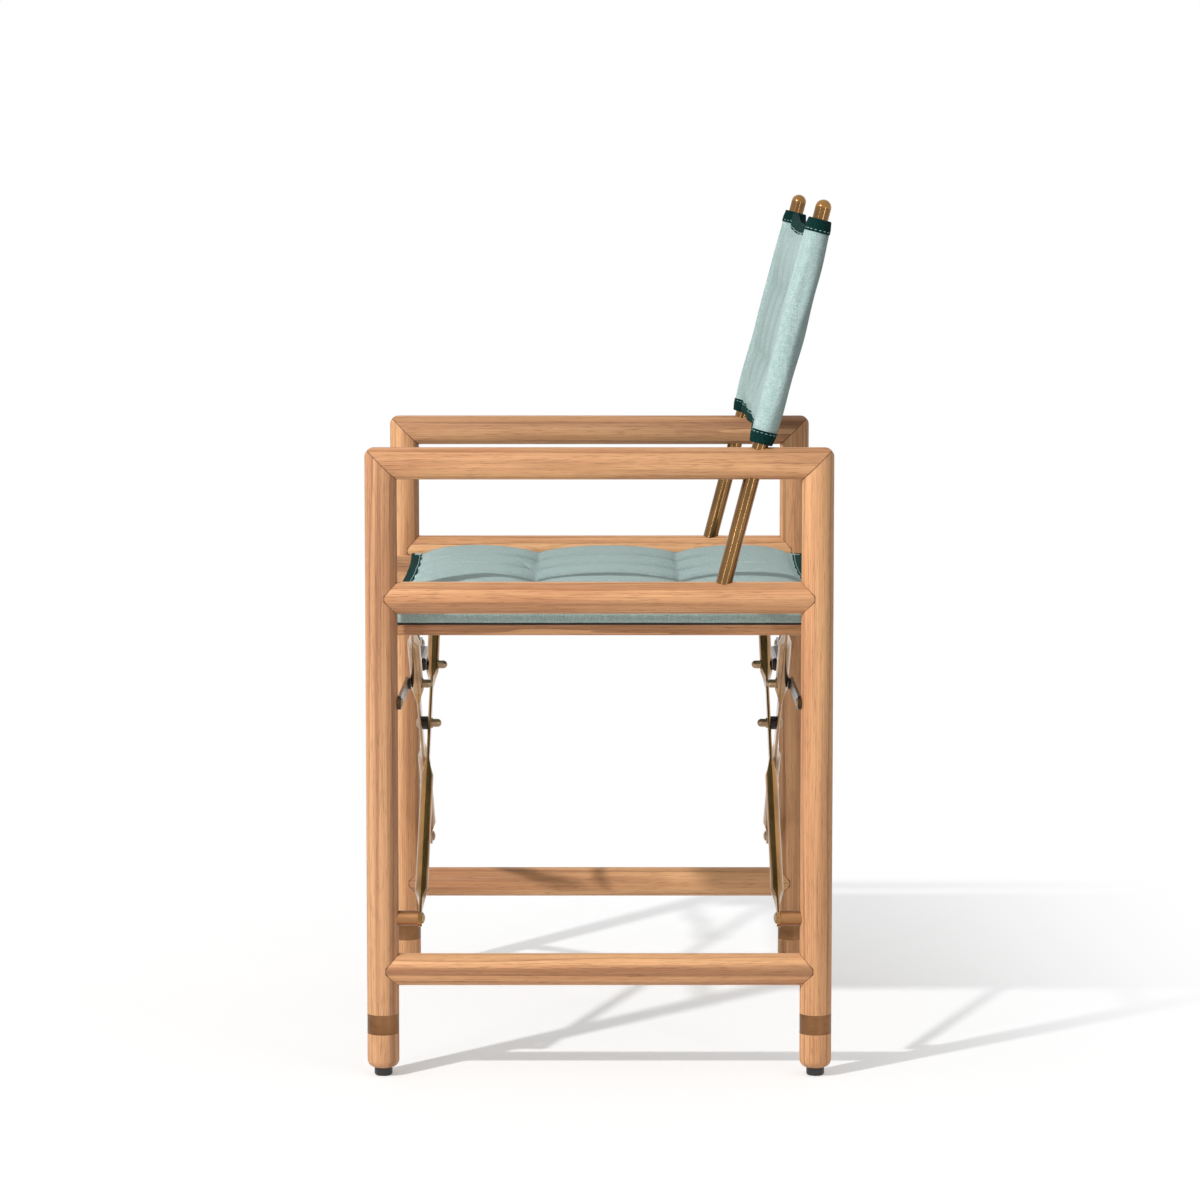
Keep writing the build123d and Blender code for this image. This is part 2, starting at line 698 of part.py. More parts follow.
def arc_chain(points, crown, place):
    """Arcs from point to point, each rising to the crown height midway."""
    edges = []
    for (u0, h0), (u1, h1) in zip(points, points[1:]):
        edges.append(ThreePointArc(place(u0, h0), place((u0 + u1) / 2, crown), place(u1, h1)))
    return edges


def quilt_section(place, span, creases, edge, top, under):
    """Section of a quilted panel: pillows between creases above, shallower ones below.

    The edge is its low and high height, and top and under are each a crown and a crease height.
    """
    first, last = span
    low, high = edge
    above = [(first, high), *((u, top[1]) for u in creases), (last, high)]
    below = [(last, low), *((u, under[1]) for u in reversed(creases)), (first, low)]
    return make_face(
        [
            *arc_chain(above, top[0], place),
            Line(place(last, high), place(last, low)),
            *arc_chain(below, under[0], place),
            Line(place(first, low), place(first, high)),
        ]
    )


def tape_section(place, inner, outer, edge):
    """Section of a binding tape folded over a panel's edge, with a rounded outer side."""
    low, high = edge[0] - BINDING_T, edge[1] + BINDING_T
    round_at = outer + copysign(BINDING_ROUND, inner - outer)
    return make_face(
        [
            Line(place(inner, low), place(inner, high)),
            Line(place(inner, high), place(round_at, high)),
            ThreePointArc(place(round_at, high), place(outer, (low + high) / 2), place(round_at, low)),
            Line(place(round_at, low), place(inner, low)),
        ]
    )


def stations(half):
    """Places of a panel's sections, evenly across it."""
    return [half * step / 8 for step in range(-8, 9)]


def swell(x, half):
    """Share of a pillow's full swell at a place across a panel: 0 at its ends and its three tuft lines."""
    return abs(sin(2 * pi * x / half))


def blend(first, last, share):
    """Pair of heights between two pairs."""
    return tuple(low + share * (high - low) for low, high in zip(first, last))


def drawn_in(x, half, depth):
    """How far a free edge is drawn in, most at the middle."""
    return depth * (1 - (x / half) ** 2)


def seat_place(x):
    """Map from a section of the seat, along Y and up from the rails' tops, to the chair."""
    return lambda y, h: (x, y, SEAT_RAIL_TOP + h)


SEAT_HALF = SEAT_RAIL_IN - SOFT_GAP
SEAT_EDGE = (-SEAT_EDGE_DOWN, SEAT_EDGE_UP)


def seat_profile(x):
    """Crown and crease heights of the seat above and below, at a place across it."""
    share = swell(x, SEAT_HALF)
    at_end = abs(x) > 0.75 * SEAT_HALF
    line = (SEAT_END_CROWN, SEAT_END_CREASE) if at_end else (SEAT_CREASE, SEAT_TUFT)
    under = (-SEAT_UNDER, -SEAT_UNDER_TUFT)
    top = blend(line, (SEAT_CROWN, SEAT_CREASE), share)
    return top, blend(under, (-SEAT_UNDER, -SEAT_UNDER_CREASE), share)


def seat_panel():
    """Quilted seat between the rails, its free edges drawn in."""
    sections = []
    for x in stations(SEAT_HALF):
        draw = drawn_in(x, SEAT_HALF, SEAT_DRAW)
        span = (SEAT_FRONT_Y + BINDING_W + draw, SEAT_REAR_Y - BINDING_W - draw)
        top, under = seat_profile(x)
        sections.append(quilt_section(seat_place(x), span, SEAT_TUFTS_Y, SEAT_EDGE, top, under))
    return loft(sections, ruled=True)


def seat_binding(end):
    """Tape along the seat's front or rear edge."""
    sections = []
    for x in stations(SEAT_HALF):
        draw = drawn_in(x, SEAT_HALF, SEAT_DRAW)
        outer = SEAT_FRONT_Y + draw if end == FRONT else SEAT_REAR_Y - draw
        inner = outer - end * (BINDING_W - SOFT_GAP)
        sections.append(tape_section(seat_place(x), inner, outer, SEAT_EDGE))
    return loft(sections, ruled=True)


def back_place(x):
    """Map from a section of the back, up along the tubes and forward of them, to the chair."""
    return lambda along, ahead: (
        x,
        BACK_FOOT_Y + along * sin(BACK_LEAN) - ahead * cos(BACK_LEAN),
        SIDE_RAIL_Z + along * cos(BACK_LEAN) + ahead * sin(BACK_LEAN),
    )


BACK_HALF = FRAME_X - SLEEVE_R - SOFT_GAP
TAPE_HALF = FRAME_X - BAND_R - SOFT_GAP
BACK_TUFTS = (SLEEVE_LOW + BACK_H / 3, SLEEVE_LOW + 2 * BACK_H / 3)
BACK_EDGES = (-BACK_EDGE, BACK_EDGE)


def back_profile(x):
    """Crown and crease heights of the back ahead and behind, at a place across it."""
    share = swell(x, BACK_HALF)
    at_end = abs(x) > 0.75 * BACK_HALF
    line = (BACK_END_CROWN, BACK_EDGE) if at_end else (BACK_CREASE, BACK_TUFT)
    rear = (-BACK_EDGE - BACK_TUFT, -BACK_EDGE) if at_end else (-BACK_REAR, -BACK_REAR_TUFT)
    return blend(line, (BACK_CROWN, BACK_CREASE), share), blend(rear, (-BACK_REAR, -BACK_EDGE), share)


def back_panel():
    """Quilted back between the sleeves."""
    sections = []
    for x in stations(BACK_HALF):
        draw = drawn_in(x, BACK_HALF, BACK_DRAW)
        span = (SLEEVE_LOW + BINDING_W + draw, SLEEVE_HIGH - BINDING_W - draw)
        ahead, behind = back_profile(x)
        sections.append(quilt_section(back_place(x), span, BACK_TUFTS, BACK_EDGES, ahead, behind))
    return loft(sections, ruled=True)


def back_binding(upper):
    """Tape along the back's top or bottom edge."""
    sections = []
    for x in stations(TAPE_HALF):
        draw = drawn_in(x, BACK_HALF, BACK_DRAW)
        outer = SLEEVE_HIGH - draw if upper else SLEEVE_LOW + draw
        inner = outer + (SOFT_GAP - BINDING_W if upper else BINDING_W - SOFT_GAP)
        sections.append(tape_section(back_place(x), inner, outer, BACK_EDGES))
    return loft(sections, ruled=True)


# All nodes


def cross_brace():
    """The cross bars and what holds them together."""
    ends = (FRONT, REAR)
    bars = {}
    for name, end in (("front", FRONT), ("rear", REAR)):
        bars[f"{name}_bar_a"] = cross_bar(end, BAR_A_Y, -BAR_LEAN, 0, LEFT)
        bars[f"{name}_bar_b"] = cross_bar(end, BAR_B_Y, BAR_LEAN, RUN_FIT, RIGHT)
    return {
        **bars,
        "centre_bolts": group(centre_bolt(end) for end in ends),
        "centre_spacers": group(centre_spacer(end) for end in ends),
        "centre_nuts": group(centre_nut(end) for end in ends),
        "left_link_studs": group(link_stud(LEFT, end, BAR_A_Y) for end in ends),
        "right_link_studs": group(link_stud(RIGHT, end, BAR_B_Y) for end in ends),
    }


def chair():
    """Every node of the chair, by name."""
    nodes = {}
    sides = (("right", RIGHT, BAR_A_Y, BAR_B_Y), ("left", LEFT, BAR_B_Y, BAR_A_Y))
    for name, side, low_bar_y, high_bar_y in sides:
        joggle = BAR_B_Y - high_bar_y
        for part, shape in (
            *side_frame(side, low_bar_y).items(),
            *stay_links(side, joggle, high_bar_y).items(),
            *seat_rails(side, high_bar_y).items(),
        ):
            nodes[f"{name}_{part}"] = shape
    nodes.update(cross_brace())
    nodes["seat_panel"] = seat_panel()
    nodes["seat_front_binding"] = seat_binding(FRONT)
    nodes["seat_rear_binding"] = seat_binding(REAR)
    nodes["back_panel"] = back_panel()
    nodes["back_top_binding"] = back_binding(True)
    nodes["back_bottom_binding"] = back_binding(False)
    return nodes


os.makedirs("parts", exist_ok=True)
for node, shape in chair().items():
    export_step(shape, f"parts/{node}.step")

print(f"lower pivots at x {FRAME_X:.3f}, z {LOW_PIVOT_Z:.3f}; crossing at z {CROSS_Z:.3f}")
print(f"seat pivots at x {SEAT_RAIL_X:.3f}, z {SEAT_PIVOT_Z:.3f}; fold {FOLD_DEG:.2f} degrees")
print(f"link ends at x {LINK_X:.3f}, z {LINK_Z:.3f} and on the post at z {LINK_POST_Z:.3f}")
print(f"link length {LINK_L:.3f}, turn {LINK_TURN:.3f} degrees, ratio to the fold {LINK_TURN / FOLD_DEG:.5f}")
print(f"back tube length {TUBE_L:.3f}; sleeve from {SLEEVE_LOW:.3f} to {SLEEVE_HIGH:.3f} along it")
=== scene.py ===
"""Looks of the folding directors chair: its teak, brass and plastic finishes and its soft goods.

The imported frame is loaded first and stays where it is. The quilted seat and back, their sleeves, wraps,
bindings and stitches are modelled here, in metres and in the frame's own axes: +Z is up, the chair's front
is at -Y, and right and left are as seen from the front, so the right side is at +X.
"""
from __future__ import annotations

import json
import logging
import math
from dataclasses import dataclass
from enum import Enum
from typing import Callable, Sequence

import bmesh
import bpy
from bmesh.types import BMesh, BMVert
from bpy.types import Light, Material, Mesh, Node, NodeSocket, NodeTree, Object, Scene, World
from mathutils import Euler, Matrix, Vector, noise


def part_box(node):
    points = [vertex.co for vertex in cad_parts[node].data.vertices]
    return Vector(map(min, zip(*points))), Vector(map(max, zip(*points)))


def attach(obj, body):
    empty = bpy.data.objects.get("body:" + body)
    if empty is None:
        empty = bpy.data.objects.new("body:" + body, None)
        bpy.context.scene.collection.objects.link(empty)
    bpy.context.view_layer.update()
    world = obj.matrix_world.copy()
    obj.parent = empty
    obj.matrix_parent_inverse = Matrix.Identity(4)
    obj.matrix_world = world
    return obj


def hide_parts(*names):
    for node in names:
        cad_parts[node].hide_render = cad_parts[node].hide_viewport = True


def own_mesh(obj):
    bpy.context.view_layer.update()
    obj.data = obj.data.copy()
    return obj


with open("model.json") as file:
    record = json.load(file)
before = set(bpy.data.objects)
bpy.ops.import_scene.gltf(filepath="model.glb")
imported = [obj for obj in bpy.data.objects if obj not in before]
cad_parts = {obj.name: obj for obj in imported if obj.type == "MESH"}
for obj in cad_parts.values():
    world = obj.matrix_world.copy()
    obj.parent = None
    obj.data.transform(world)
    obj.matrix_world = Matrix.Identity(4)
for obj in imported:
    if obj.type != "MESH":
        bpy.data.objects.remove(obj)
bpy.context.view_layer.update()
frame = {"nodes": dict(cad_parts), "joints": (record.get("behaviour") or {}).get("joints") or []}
LOG = logging.getLogger("directors_chair")

Colour = tuple[float, float, float, float]
Tones = tuple[Colour, Colour]
Turn = tuple[float, float, float]
Spot = Callable[[float, float], Vector]

MM = 0.001

# Cloth and tape: widths, thicknesses and the pitch of the weave
TAPE_WIDTH = 12 * MM
TAPE_THICK = 0.9 * MM
END_TAPE_THICK = 0.6 * TAPE_THICK
CANVAS_THICK = 1.1 * MM
WRAP_CLOTH_THICK = 0.8 * CANVAS_THICK
WRAP_THICK = 1.8 * MM
WEAVE_PITCH = 0.85 * MM
TAPE_PITCH = 0.7 * MM

# Cells of a cut's mesh, across and along it
TAPE_CELL = (3 * MM, 1.2 * MM)
SLEEVE_CELL = (0.9 * MM, 3 * MM)
BAND_CELL = (1.7 * MM, 0.9 * MM)
WRAP_CELL = (1.5 * MM, 3.5 * MM)
END_TAPE_CELL = (1.5 * MM, 1.1 * MM)

# Stitches and tacks
STITCH_PITCH = 4.2 * MM
STITCH_SHARE = 0.68
STITCH_THICK = 0.75 * MM
STITCH_INSET = 2.2 * MM
TACK_THREADS = 4
TACK_LENGTH = 8 * MM
HEM_ROW = 0.8

# Quilting, with the attribute of painted shade, which darkens a place by how deep it lies in the creases and
# valleys
SHADE_ATTRIBUTE = "painted_shade"
SHADE_SHARP = 1.4
PUCKER_SHARE = 0.5
VALLEY_SHADE = 0.2
PILLOW_ROUND = 0.55
FINGER_ROUND = 0.9
TUFT_HOLD = 5.5 * MM
TAPE_CLEAR = 2 * MM
PAD_EDGE = 0.6 * MM

# Sleeves: seams and welt by their angles, and shares of the slack
SLEEVE_OVERLAP = 2 * MM
SLEEVE_SEAMS = (math.radians(38.0), math.radians(-38.0))
WELT_AT = math.radians(82.0)
WELT_WIDTH = math.radians(7.0)
WELT_HIGH = 1.1 * MM
SLACK_EVEN = 0.6
SLACK_UNEVEN = 1.4
SLACK_BEHIND = 1.1

# Unevenness: cells of noise per metre, or the noise's radius for a turn round a tube. The other numbers of a
# noise call only set one edge or side apart from the next.
TAPE_PUCKER = 0.6 * MM
BAND_PUCKER = 0.5 * TAPE_PUCKER
END_PUCKER = 0.4 * TAPE_PUCKER
RIPPLE_CELLS = 17
PUCKER_CELLS = (85, 70)
SLIP_CELLS = 60
SLACK_CELLS = 17
SLACK_ROUND = 1.1
BAND_CELLS = 60
BAND_ROUND = 3
FLUTTER_CELLS = 23
END_CELLS = (80, 90)

MERGE = 0.001 * MM
LEAN_ROUNDS = 24

# Cloth simulation of the stuffed pads
STUFFING_FRAMES = 22
STUFFING = {
    "quality": 6,
    "mass": 0.25,
    "tension_stiffness": 12.0,
    "compression_stiffness": 12.0,
    "shear_stiffness": 6.0,
    "bending_stiffness": 0.25,
    "use_pressure": True,
    "uniform_pressure_force": 4.0,
    "shrink_min": -0.03,
}


def paint(red: int, green: int, blue: int) -> Colour:
    """Turns display values from 0 to 255 into a shader colour.

    Args:
        red: Display value of red.
        green: Display value of green.
        blue: Display value of blue.

    Returns:
        The linear colour with full alpha.
    """
    shares = [value / 255 for value in (red, green, blue)]
    linear = [s / 12.92 if s <= 0.04045 else ((s + 0.055) / 1.055) ** 2.4 for s in shares]
    return (*linear, 1.0)


class Side(Enum):
    """A side of the chair, with its sign along X."""

    RIGHT = 1
    LEFT = -1

    @property
    def word(self) -> str:
        """The side's name as the frame's nodes and bodies spell it."""
        return self.name.lower()


class Edge(Enum):
    """A bound edge of a panel: the seat's front or the back's bottom, and the one opposite."""

    LOW = -1
    HIGH = 1


class Effect(Enum):
    """What a finish's surface looks like, by the node group that draws it."""

    TEAK = "teak_grain"
    METAL = "brushed_metal"
    WEAVE = "cloth_weave"
    MOULDED = "moulded_grain"


class Joint(Enum):
    """Which joint shows as a line in the wood: a glued one, or the painted shadow in the gap under the
    canvas's hem.
    """

    NONE = ""
    MITRE = "Mitre"
    COPE = "Cope"
    HEM = "Hem"


class NodeSheet:
    """Adds nodes to one shader tree and joins them."""

    def __init__(self, tree: NodeTree) -> None:
        """Keeps the tree that gets the nodes."""
        self.tree = tree

    @classmethod
    def cleared(cls, holder: Material | World) -> NodeSheet:
        """Empties the tree of a material or a world.

        Args:
            holder: What has the tree.

        Returns:
            The empty tree's sheet.
        """
        holder.use_nodes = True
        holder.node_tree.nodes.clear()
        return cls(holder.node_tree)

    def feed(self, socket: NodeSocket, value: object) -> None:
        """Links an output to a socket, or sets the socket's own value.

        Args:
            socket: The input to feed.
            value: Another node's output, or a plain value.
        """
        if isinstance(value, NodeSocket):
            self.tree.links.new(value, socket)
        else:
            socket.default_value = value

    def add(self, kind: str, inputs: dict | None = None, **settings: object) -> Node:
        """Adds one node.

        Args:
            kind: The node's type.
            inputs: What feeds its inputs, by name or number.
            settings: The node's own settings.

        Returns:
            The new node.
        """
        node = self.tree.nodes.new(kind)
        for name, value in settings.items():
            setattr(node, name, value)
        for key, value in (inputs or {}).items():
            self.feed(node.inputs[key], value)
        return node

    def placed(self, tree: NodeTree, inputs: dict[str, object]) -> bpy.types.NodeOutputs:
        """Places a node group.

        Args:
            tree: The group's tree.
            inputs: What feeds its inputs, by name.

        Returns:
            The group's outputs.
        """
        node = self.add("ShaderNodeGroup", node_tree=tree)
        for name, value in inputs.items():
            self.feed(node.inputs[name], value)
        return node.outputs

    def math(self, operation: str, *values: object) -> NodeSocket:
        """Adds a Math node and returns its output."""
        return self.add("ShaderNodeMath", dict(enumerate(values)), operation=operation).outputs[0]

    def mix(self, share: object, first: object, second: object, blend: str = "MIX") -> NodeSocket:
        """Mixes two colours; the share is how much of the second shows."""
        inputs = {0: share, 6: first, 7: second}
        return self.add("ShaderNodeMix", inputs, data_type="RGBA", blend_type=blend).outputs[2]

    def step(
        self, value: object, low: float, high: float, first: float = 0, last: float = 1
    ) -> NodeSocket:
        """Eases a value that runs from low to high into one that runs from first to last."""
        inputs = {0: value, 1: low, 2: high, 3: first, 4: last}
        return self.add("ShaderNodeMapRange", inputs, interpolation_type="SMOOTHSTEP").outputs[0]

    def stretched(self, vector: object, scale: Sequence[float]) -> NodeSocket:
        """Scales a coordinate and returns it."""
        return self.add("ShaderNodeMapping", {"Vector": vector, "Scale": tuple(scale)}).outputs[0]

    def cloud(self, vector: object, scale: Sequence[float], detail: float = 2.0) -> NodeSocket:
        """Draws noise from 0 to 1, with so many cells per metre along X, Y and Z."""
        inputs = {"Vector": self.stretched(vector, scale), "Scale": 1.0, "Detail": detail}
        return self.add("ShaderNodeTexNoise", inputs).outputs[0]


class EffectGroup(NodeSheet):
    """A node group with named sockets, built once and placed in several materials."""

    def __init__(self, name: str, inputs: dict[str, object], outputs: dict[str, str]) -> None:
        """Makes the group and its sockets.

        Args:
            name: The group's name.
            inputs: Default values by name; three numbers make a vector, four a colour.
            outputs: Socket kinds by name.
        """
        super().__init__(bpy.data.node_groups.new(name, "ShaderNodeTree"))
        kinds = {3: "NodeSocketVector", 4: "NodeSocketColor"}
        for label, value in inputs.items():
            kind = kinds[len(value)] if isinstance(value, tuple) else "NodeSocketFloat"
            socket = self.tree.interface.new_socket(label, in_out="INPUT", socket_type=kind)
            socket.default_value = value
        for label, kind in outputs.items():
            self.tree.interface.new_socket(label, in_out="OUTPUT", socket_type=kind)
        self.given = self.add("NodeGroupInput").outputs
        self.result = self.add("NodeGroupOutput").inputs

    def put_out(self, **values: NodeSocket) -> None:
        """Feeds the group's outputs by name."""
        for name, value in values.items():
            self.feed(self.result[name], value)


class Effects:
    """The shader node groups that the finishes share."""

    SURFACE = {"Color": "NodeSocketColor", "Roughness": "NodeSocketFloat", "Height": "NodeSocketFloat"}
    GREY: Colour = (0.5, 0.5, 0.5, 1.0)

    def __init__(self, sizes: FrameSizes) -> None:
        """Builds every group; the joint lines need the frame's sizes."""
        self.trees = {
            Effect.TEAK: self.teak_grain(),
            Effect.METAL: self.brushed_metal(),
            Effect.WEAVE: self.cloth_weave(),
            Effect.MOULDED: self.moulded_grain(),
        }
        self.joints = self.joint_lines(sizes)

    def start(self, effect: Effect, **extra: object) -> EffectGroup:
        """Starts a group that takes a coordinate and two tones."""
        inputs = {"Vector": (0.0, 0.0, 0.0), "Light": self.GREY, "Dark": self.GREY, **extra}
        return EffectGroup(effect.value, inputs, self.SURFACE)

    def teak_grain(self) -> NodeTree:
        """Draws teak with its grain along Z: growth rings, pores and a few dark streaks.

        Returns:
            The group's tree.
        """
        group = self.start(Effect.TEAK, Streak=self.GREY)
        spot = group.given["Vector"]
        rings = group.add(
            "ShaderNodeTexWave",
            {
                "Vector": group.stretched(spot, (1.0, 0.7, 0.045)),
                "Scale": 42.0,
                "Distortion": 9.0,
                "Detail": 3.0,
                "Detail Scale": 0.7,
                "Detail Roughness": 0.6,
            },
            wave_profile="SAW",
        ).outputs[1]
        lines = group.step(rings, 0.70, 1.0)
        broad = group.cloud(spot, (34, 34, 1.7))
        heart = group.step(group.cloud(spot, (30, 30, 0.7)), 0.53, 0.65)
        fibre = group.cloud(spot, (900, 900, 9), 3.0)
        pores = group.step(group.cloud(spot, (1500, 1500, 60), 1.0), 0.58, 0.74)
        streaks = group.step(group.cloud(spot, (70, 70, 0.7), 3.0), 0.60, 0.71)
        tone = group.math("MULTIPLY_ADD", rings, 0.34, group.step(broad, 0.3, 0.7, -0.25, 0.6))
        tone = group.math("MULTIPLY_ADD", group.step(fibre, 0.3, 0.7, -0.5, 0.5), 0.5, tone)
        colour = group.mix(tone, group.given["Light"], group.given["Dark"])
        for mask, share in ((heart, 0.32), (lines, 0.34), (streaks, 0.52), (pores, 0.32)):
            colour = group.mix(group.math("MULTIPLY", mask, share), colour, group.given["Streak"])
        rough = group.math("MULTIPLY_ADD", pores, 0.16, group.step(fibre, 0.2, 0.8, 0.46, 0.60))
        height = group.math("SUBTRACT", group.math("MULTIPLY", fibre, 0.4), pores)
        group.put_out(Color=colour, Roughness=rough, Height=height)
        return group.tree

    def brushed_metal(self) -> NodeTree:
        """Draws metal brushed along Z, with a little tarnish.

        Returns:
            The group's tree.
        """
        group = self.start(Effect.METAL, Roughness=0.3)
        spot = group.given["Vector"]
        lines = group.cloud(spot, (2600, 2600, 26))
        tarnish = group.cloud(spot, (60, 60, 22), 4.0)
        specks = group.step(group.cloud(spot, (700, 700, 420), 1.0), 0.66, 0.78)
        tone = group.math("MULTIPLY_ADD", group.step(lines, 0.3, 0.7), 0.35, group.step(tarnish, 0.35, 0.75))
        colour = group.mix(group.math("MULTIPLY", tone, 0.6), group.given["Light"], group.given["Dark"])
        colour = group.mix(group.math("MULTIPLY", specks, 0.35), colour, group.given["Dark"])
        rough = group.math("ADD", group.given["Roughness"], group.step(lines, 0.25, 0.75, -0.03, 0.04))
        rough = group.math("ADD", rough, group.step(tarnish, 0.4, 0.75, 0.0, 0.06))
        group.put_out(Color=colour, Roughness=rough, Height=lines)
        return group.tree

    def cloth_weave(self) -> NodeTree:
        """Draws a plain weave of mixed yarns on a coordinate in metres.

        Returns:
            The group's tree.
        """
        group = self.start(Effect.WEAVE, Pitch=WEAVE_PITCH)
        spot = group.given["Vector"]
        split = group.add("ShaderNodeSeparateXYZ", {0: spot}).outputs
        turns = group.math("DIVIDE", math.pi, group.given["Pitch"])
        warp, weft = (group.math("SINE", group.math("MULTIPLY", split[axis], turns)) for axis in (0, 1))
        over = group.math("MULTIPLY", warp, weft)
        warp_top = group.math("MULTIPLY", group.math("ABSOLUTE", warp), group.step(over, -0.25, 0.6))
        weft_top = group.math("MULTIPLY", group.math("ABSOLUTE", weft), group.step(over, 0.25, -0.6))
        height = group.math("MAXIMUM", warp_top, weft_top)
        yarns = group.math("ADD", group.cloud(spot, (1300, 110, 1)), group.cloud(spot, (110, 1300, 1)))
        flecks = group.step(group.cloud(spot, (900, 620, 1), 1.0), 0.35, 0.7, 0.0, 0.5)
        slubs = group.math("ADD", group.cloud(spot, (520, 130, 1)), group.cloud(spot, (130, 520, 1)))
        tone = group.math("ADD", group.step(yarns, 0.75, 1.25, 0.0, 0.55), flecks)
        tone = group.math("ADD", tone, group.step(slubs, 0.75, 1.25, -0.15, 0.15))
        # Painted shade and highlight: the low places of the weave, between the yarns, darker and the yarns'
        # tops lighter
        tone = group.math("ADD", tone, group.step(height, 0.1, 0.8, 0.22, -0.12))
        colour = group.mix(tone, group.given["Light"], group.given["Dark"])
        group.put_out(Color=colour, Roughness=group.step(height, 0.0, 1.0, 0.95, 0.80), Height=height)
        return group.tree

    def moulded_grain(self) -> NodeTree:
        """Draws moulded plastic or thread with a fine grain.

        Returns:
            The group's tree.
        """
        group = self.start(Effect.MOULDED, Roughness=0.5)
        spot = group.given["Vector"]
        grain = group.cloud(spot, (1500, 1500, 1500))
        scuffs = group.cloud(spot, (150, 150, 90), 4.0)
        colour = group.mix(group.step(scuffs, 0.35, 0.75), group.given["Dark"], group.given["Light"])
        rough = group.math("ADD", group.given["Roughness"], group.step(scuffs, 0.3, 0.7, -0.08, 0.12))
        group.put_out(Color=colour, Roughness=rough, Height=grain)
        return group.tree

    def joint_lines(self, sizes: FrameSizes) -> NodeTree:
        """Draws the hairlines of the mitres and the coped rail ends, and the painted shadow under the seat's
        hem.

        Args:
            sizes: The frame's sizes.

        Returns:
            The group's tree, whose masks are 1 on a joint.
        """
        masks = {joint.value: "NodeSocketFloat" for joint in Joint if joint is not Joint.NONE}
        group = EffectGroup("joint_lines", {"Vector": (0.0, 0.0, 0.0)}, masks)
        split = group.add("ShaderNodeSeparateXYZ", {0: group.given["Vector"]}).outputs
        beside = group.math("SUBTRACT", group.math("ABSOLUTE", split[0]), sizes.frame_x)
        along = group.math("SUBTRACT", group.math("ABSOLUTE", split[1]), sizes.post_y)
        above = group.math("SUBTRACT", split[2], sizes.arm_z)
        slant = group.math("ABSOLUTE", group.math("SUBTRACT", above, along))
        squares = group.math("ADD", group.math("POWER", beside, 2.0), group.math("POWER", along, 2.0))
        gap = group.math("SUBTRACT", group.math("SQRT", squares), sizes.rod_r)
        # Painted shadow: a thin dark band just below the hem, along the seat rail
        under = group.math("ABSOLUTE", group.math("SUBTRACT", split[2], sizes.hem_z))
        hemmed = group.math("LESS_THAN", group.math("ABSOLUTE", split[1]), sizes.hem_end)
        line = sizes.joint_line
        shaded = group.step(under, sizes.hem_gap, sizes.hem_gap + line, 1.0, 0.0)
        group.put_out(
            Mitre=group.step(slant, line, 2.5 * line, 1.0, 0.0),
            Cope=group.step(gap, 0.5 * line, 2.0 * line, 1.0, 0.0),
            Hem=group.math("MULTIPLY", hemmed, shaded),
        )
        return group.tree


@dataclass(frozen=True)
class Finish:
    """A surface finish: the effect that draws it, its tones and its constant shader values.

    The turn, in degrees, brings the run of the grain or the brushing onto the effect's Z axis. A shade tone
    is painted shade, which darkens the creases that a piece marks in its own attribute.
    """

    name: str
    effect: Effect
    light: Colour
    dark: Colour
    relief: float
    turn: Turn = (0.0, 0.0, 0.0)
    joint: Joint = Joint.NONE
    extra: tuple[tuple[str, object], ...] = ()
    shader: tuple[tuple[str, object], ...] = ()
    painted_shade: Colour | None = None

    def material(self, effects: Effects) -> Material:
        """Builds the finish's material.

        Args:
            effects: The shared node groups.

        Returns:
            The material.
        """
        made = bpy.data.materials.new(self.name)
        sheet = NodeSheet.cleared(made)
        where = sheet.add("ShaderNodeTexCoord").outputs
        spot = where["UV"] if self.effect is Effect.WEAVE else where["Object"]
        turn = tuple(math.radians(angle) for angle in self.turn)
        turned = sheet.add("ShaderNodeMapping", {"Vector": spot, "Rotation": turn}).outputs[0]
        tones = {"Vector": turned, "Light": self.light, "Dark": self.dark, **dict(self.extra)}
        drawn = sheet.placed(effects.trees[self.effect], tones)
        colour = drawn["Color"]
        if self.joint is not Joint.NONE:
            lines = sheet.placed(effects.joints, {"Vector": spot})
            colour = sheet.mix(lines[self.joint.value], colour, JOINT_TONES[self.joint])
        # Painted shade: the piece's attribute darkens its creases and valleys towards the shade tone
        if self.painted_shade is not None:
            depth = sheet.add("ShaderNodeAttribute", attribute_name=SHADE_ATTRIBUTE).outputs["Fac"]
            colour = sheet.mix(depth, colour, self.painted_shade)
        bump = sheet.add("ShaderNodeBump", {"Height": drawn["Height"], "Distance": self.relief})
        inputs = {
            "Base Color": colour,
            "Roughness": drawn["Roughness"],
            "Normal": bump.outputs[0],
            **dict(self.shader),
        }
        surface = sheet.add("ShaderNodeBsdfPrincipled", inputs)
        sheet.add("ShaderNodeOutputMaterial", {"Surface": surface.outputs[0]})
        return made


JOINT_TONES = {
    Joint.MITRE: paint(104, 66, 42),
    Joint.COPE: paint(104, 66, 42),
    # The painted shadow under the hem
    Joint.HEM: paint(34, 24, 17),
}
TEAK_STREAK = paint(120, 78, 52)
TEAK_TONES = (paint(232, 177, 126), paint(188, 130, 88))
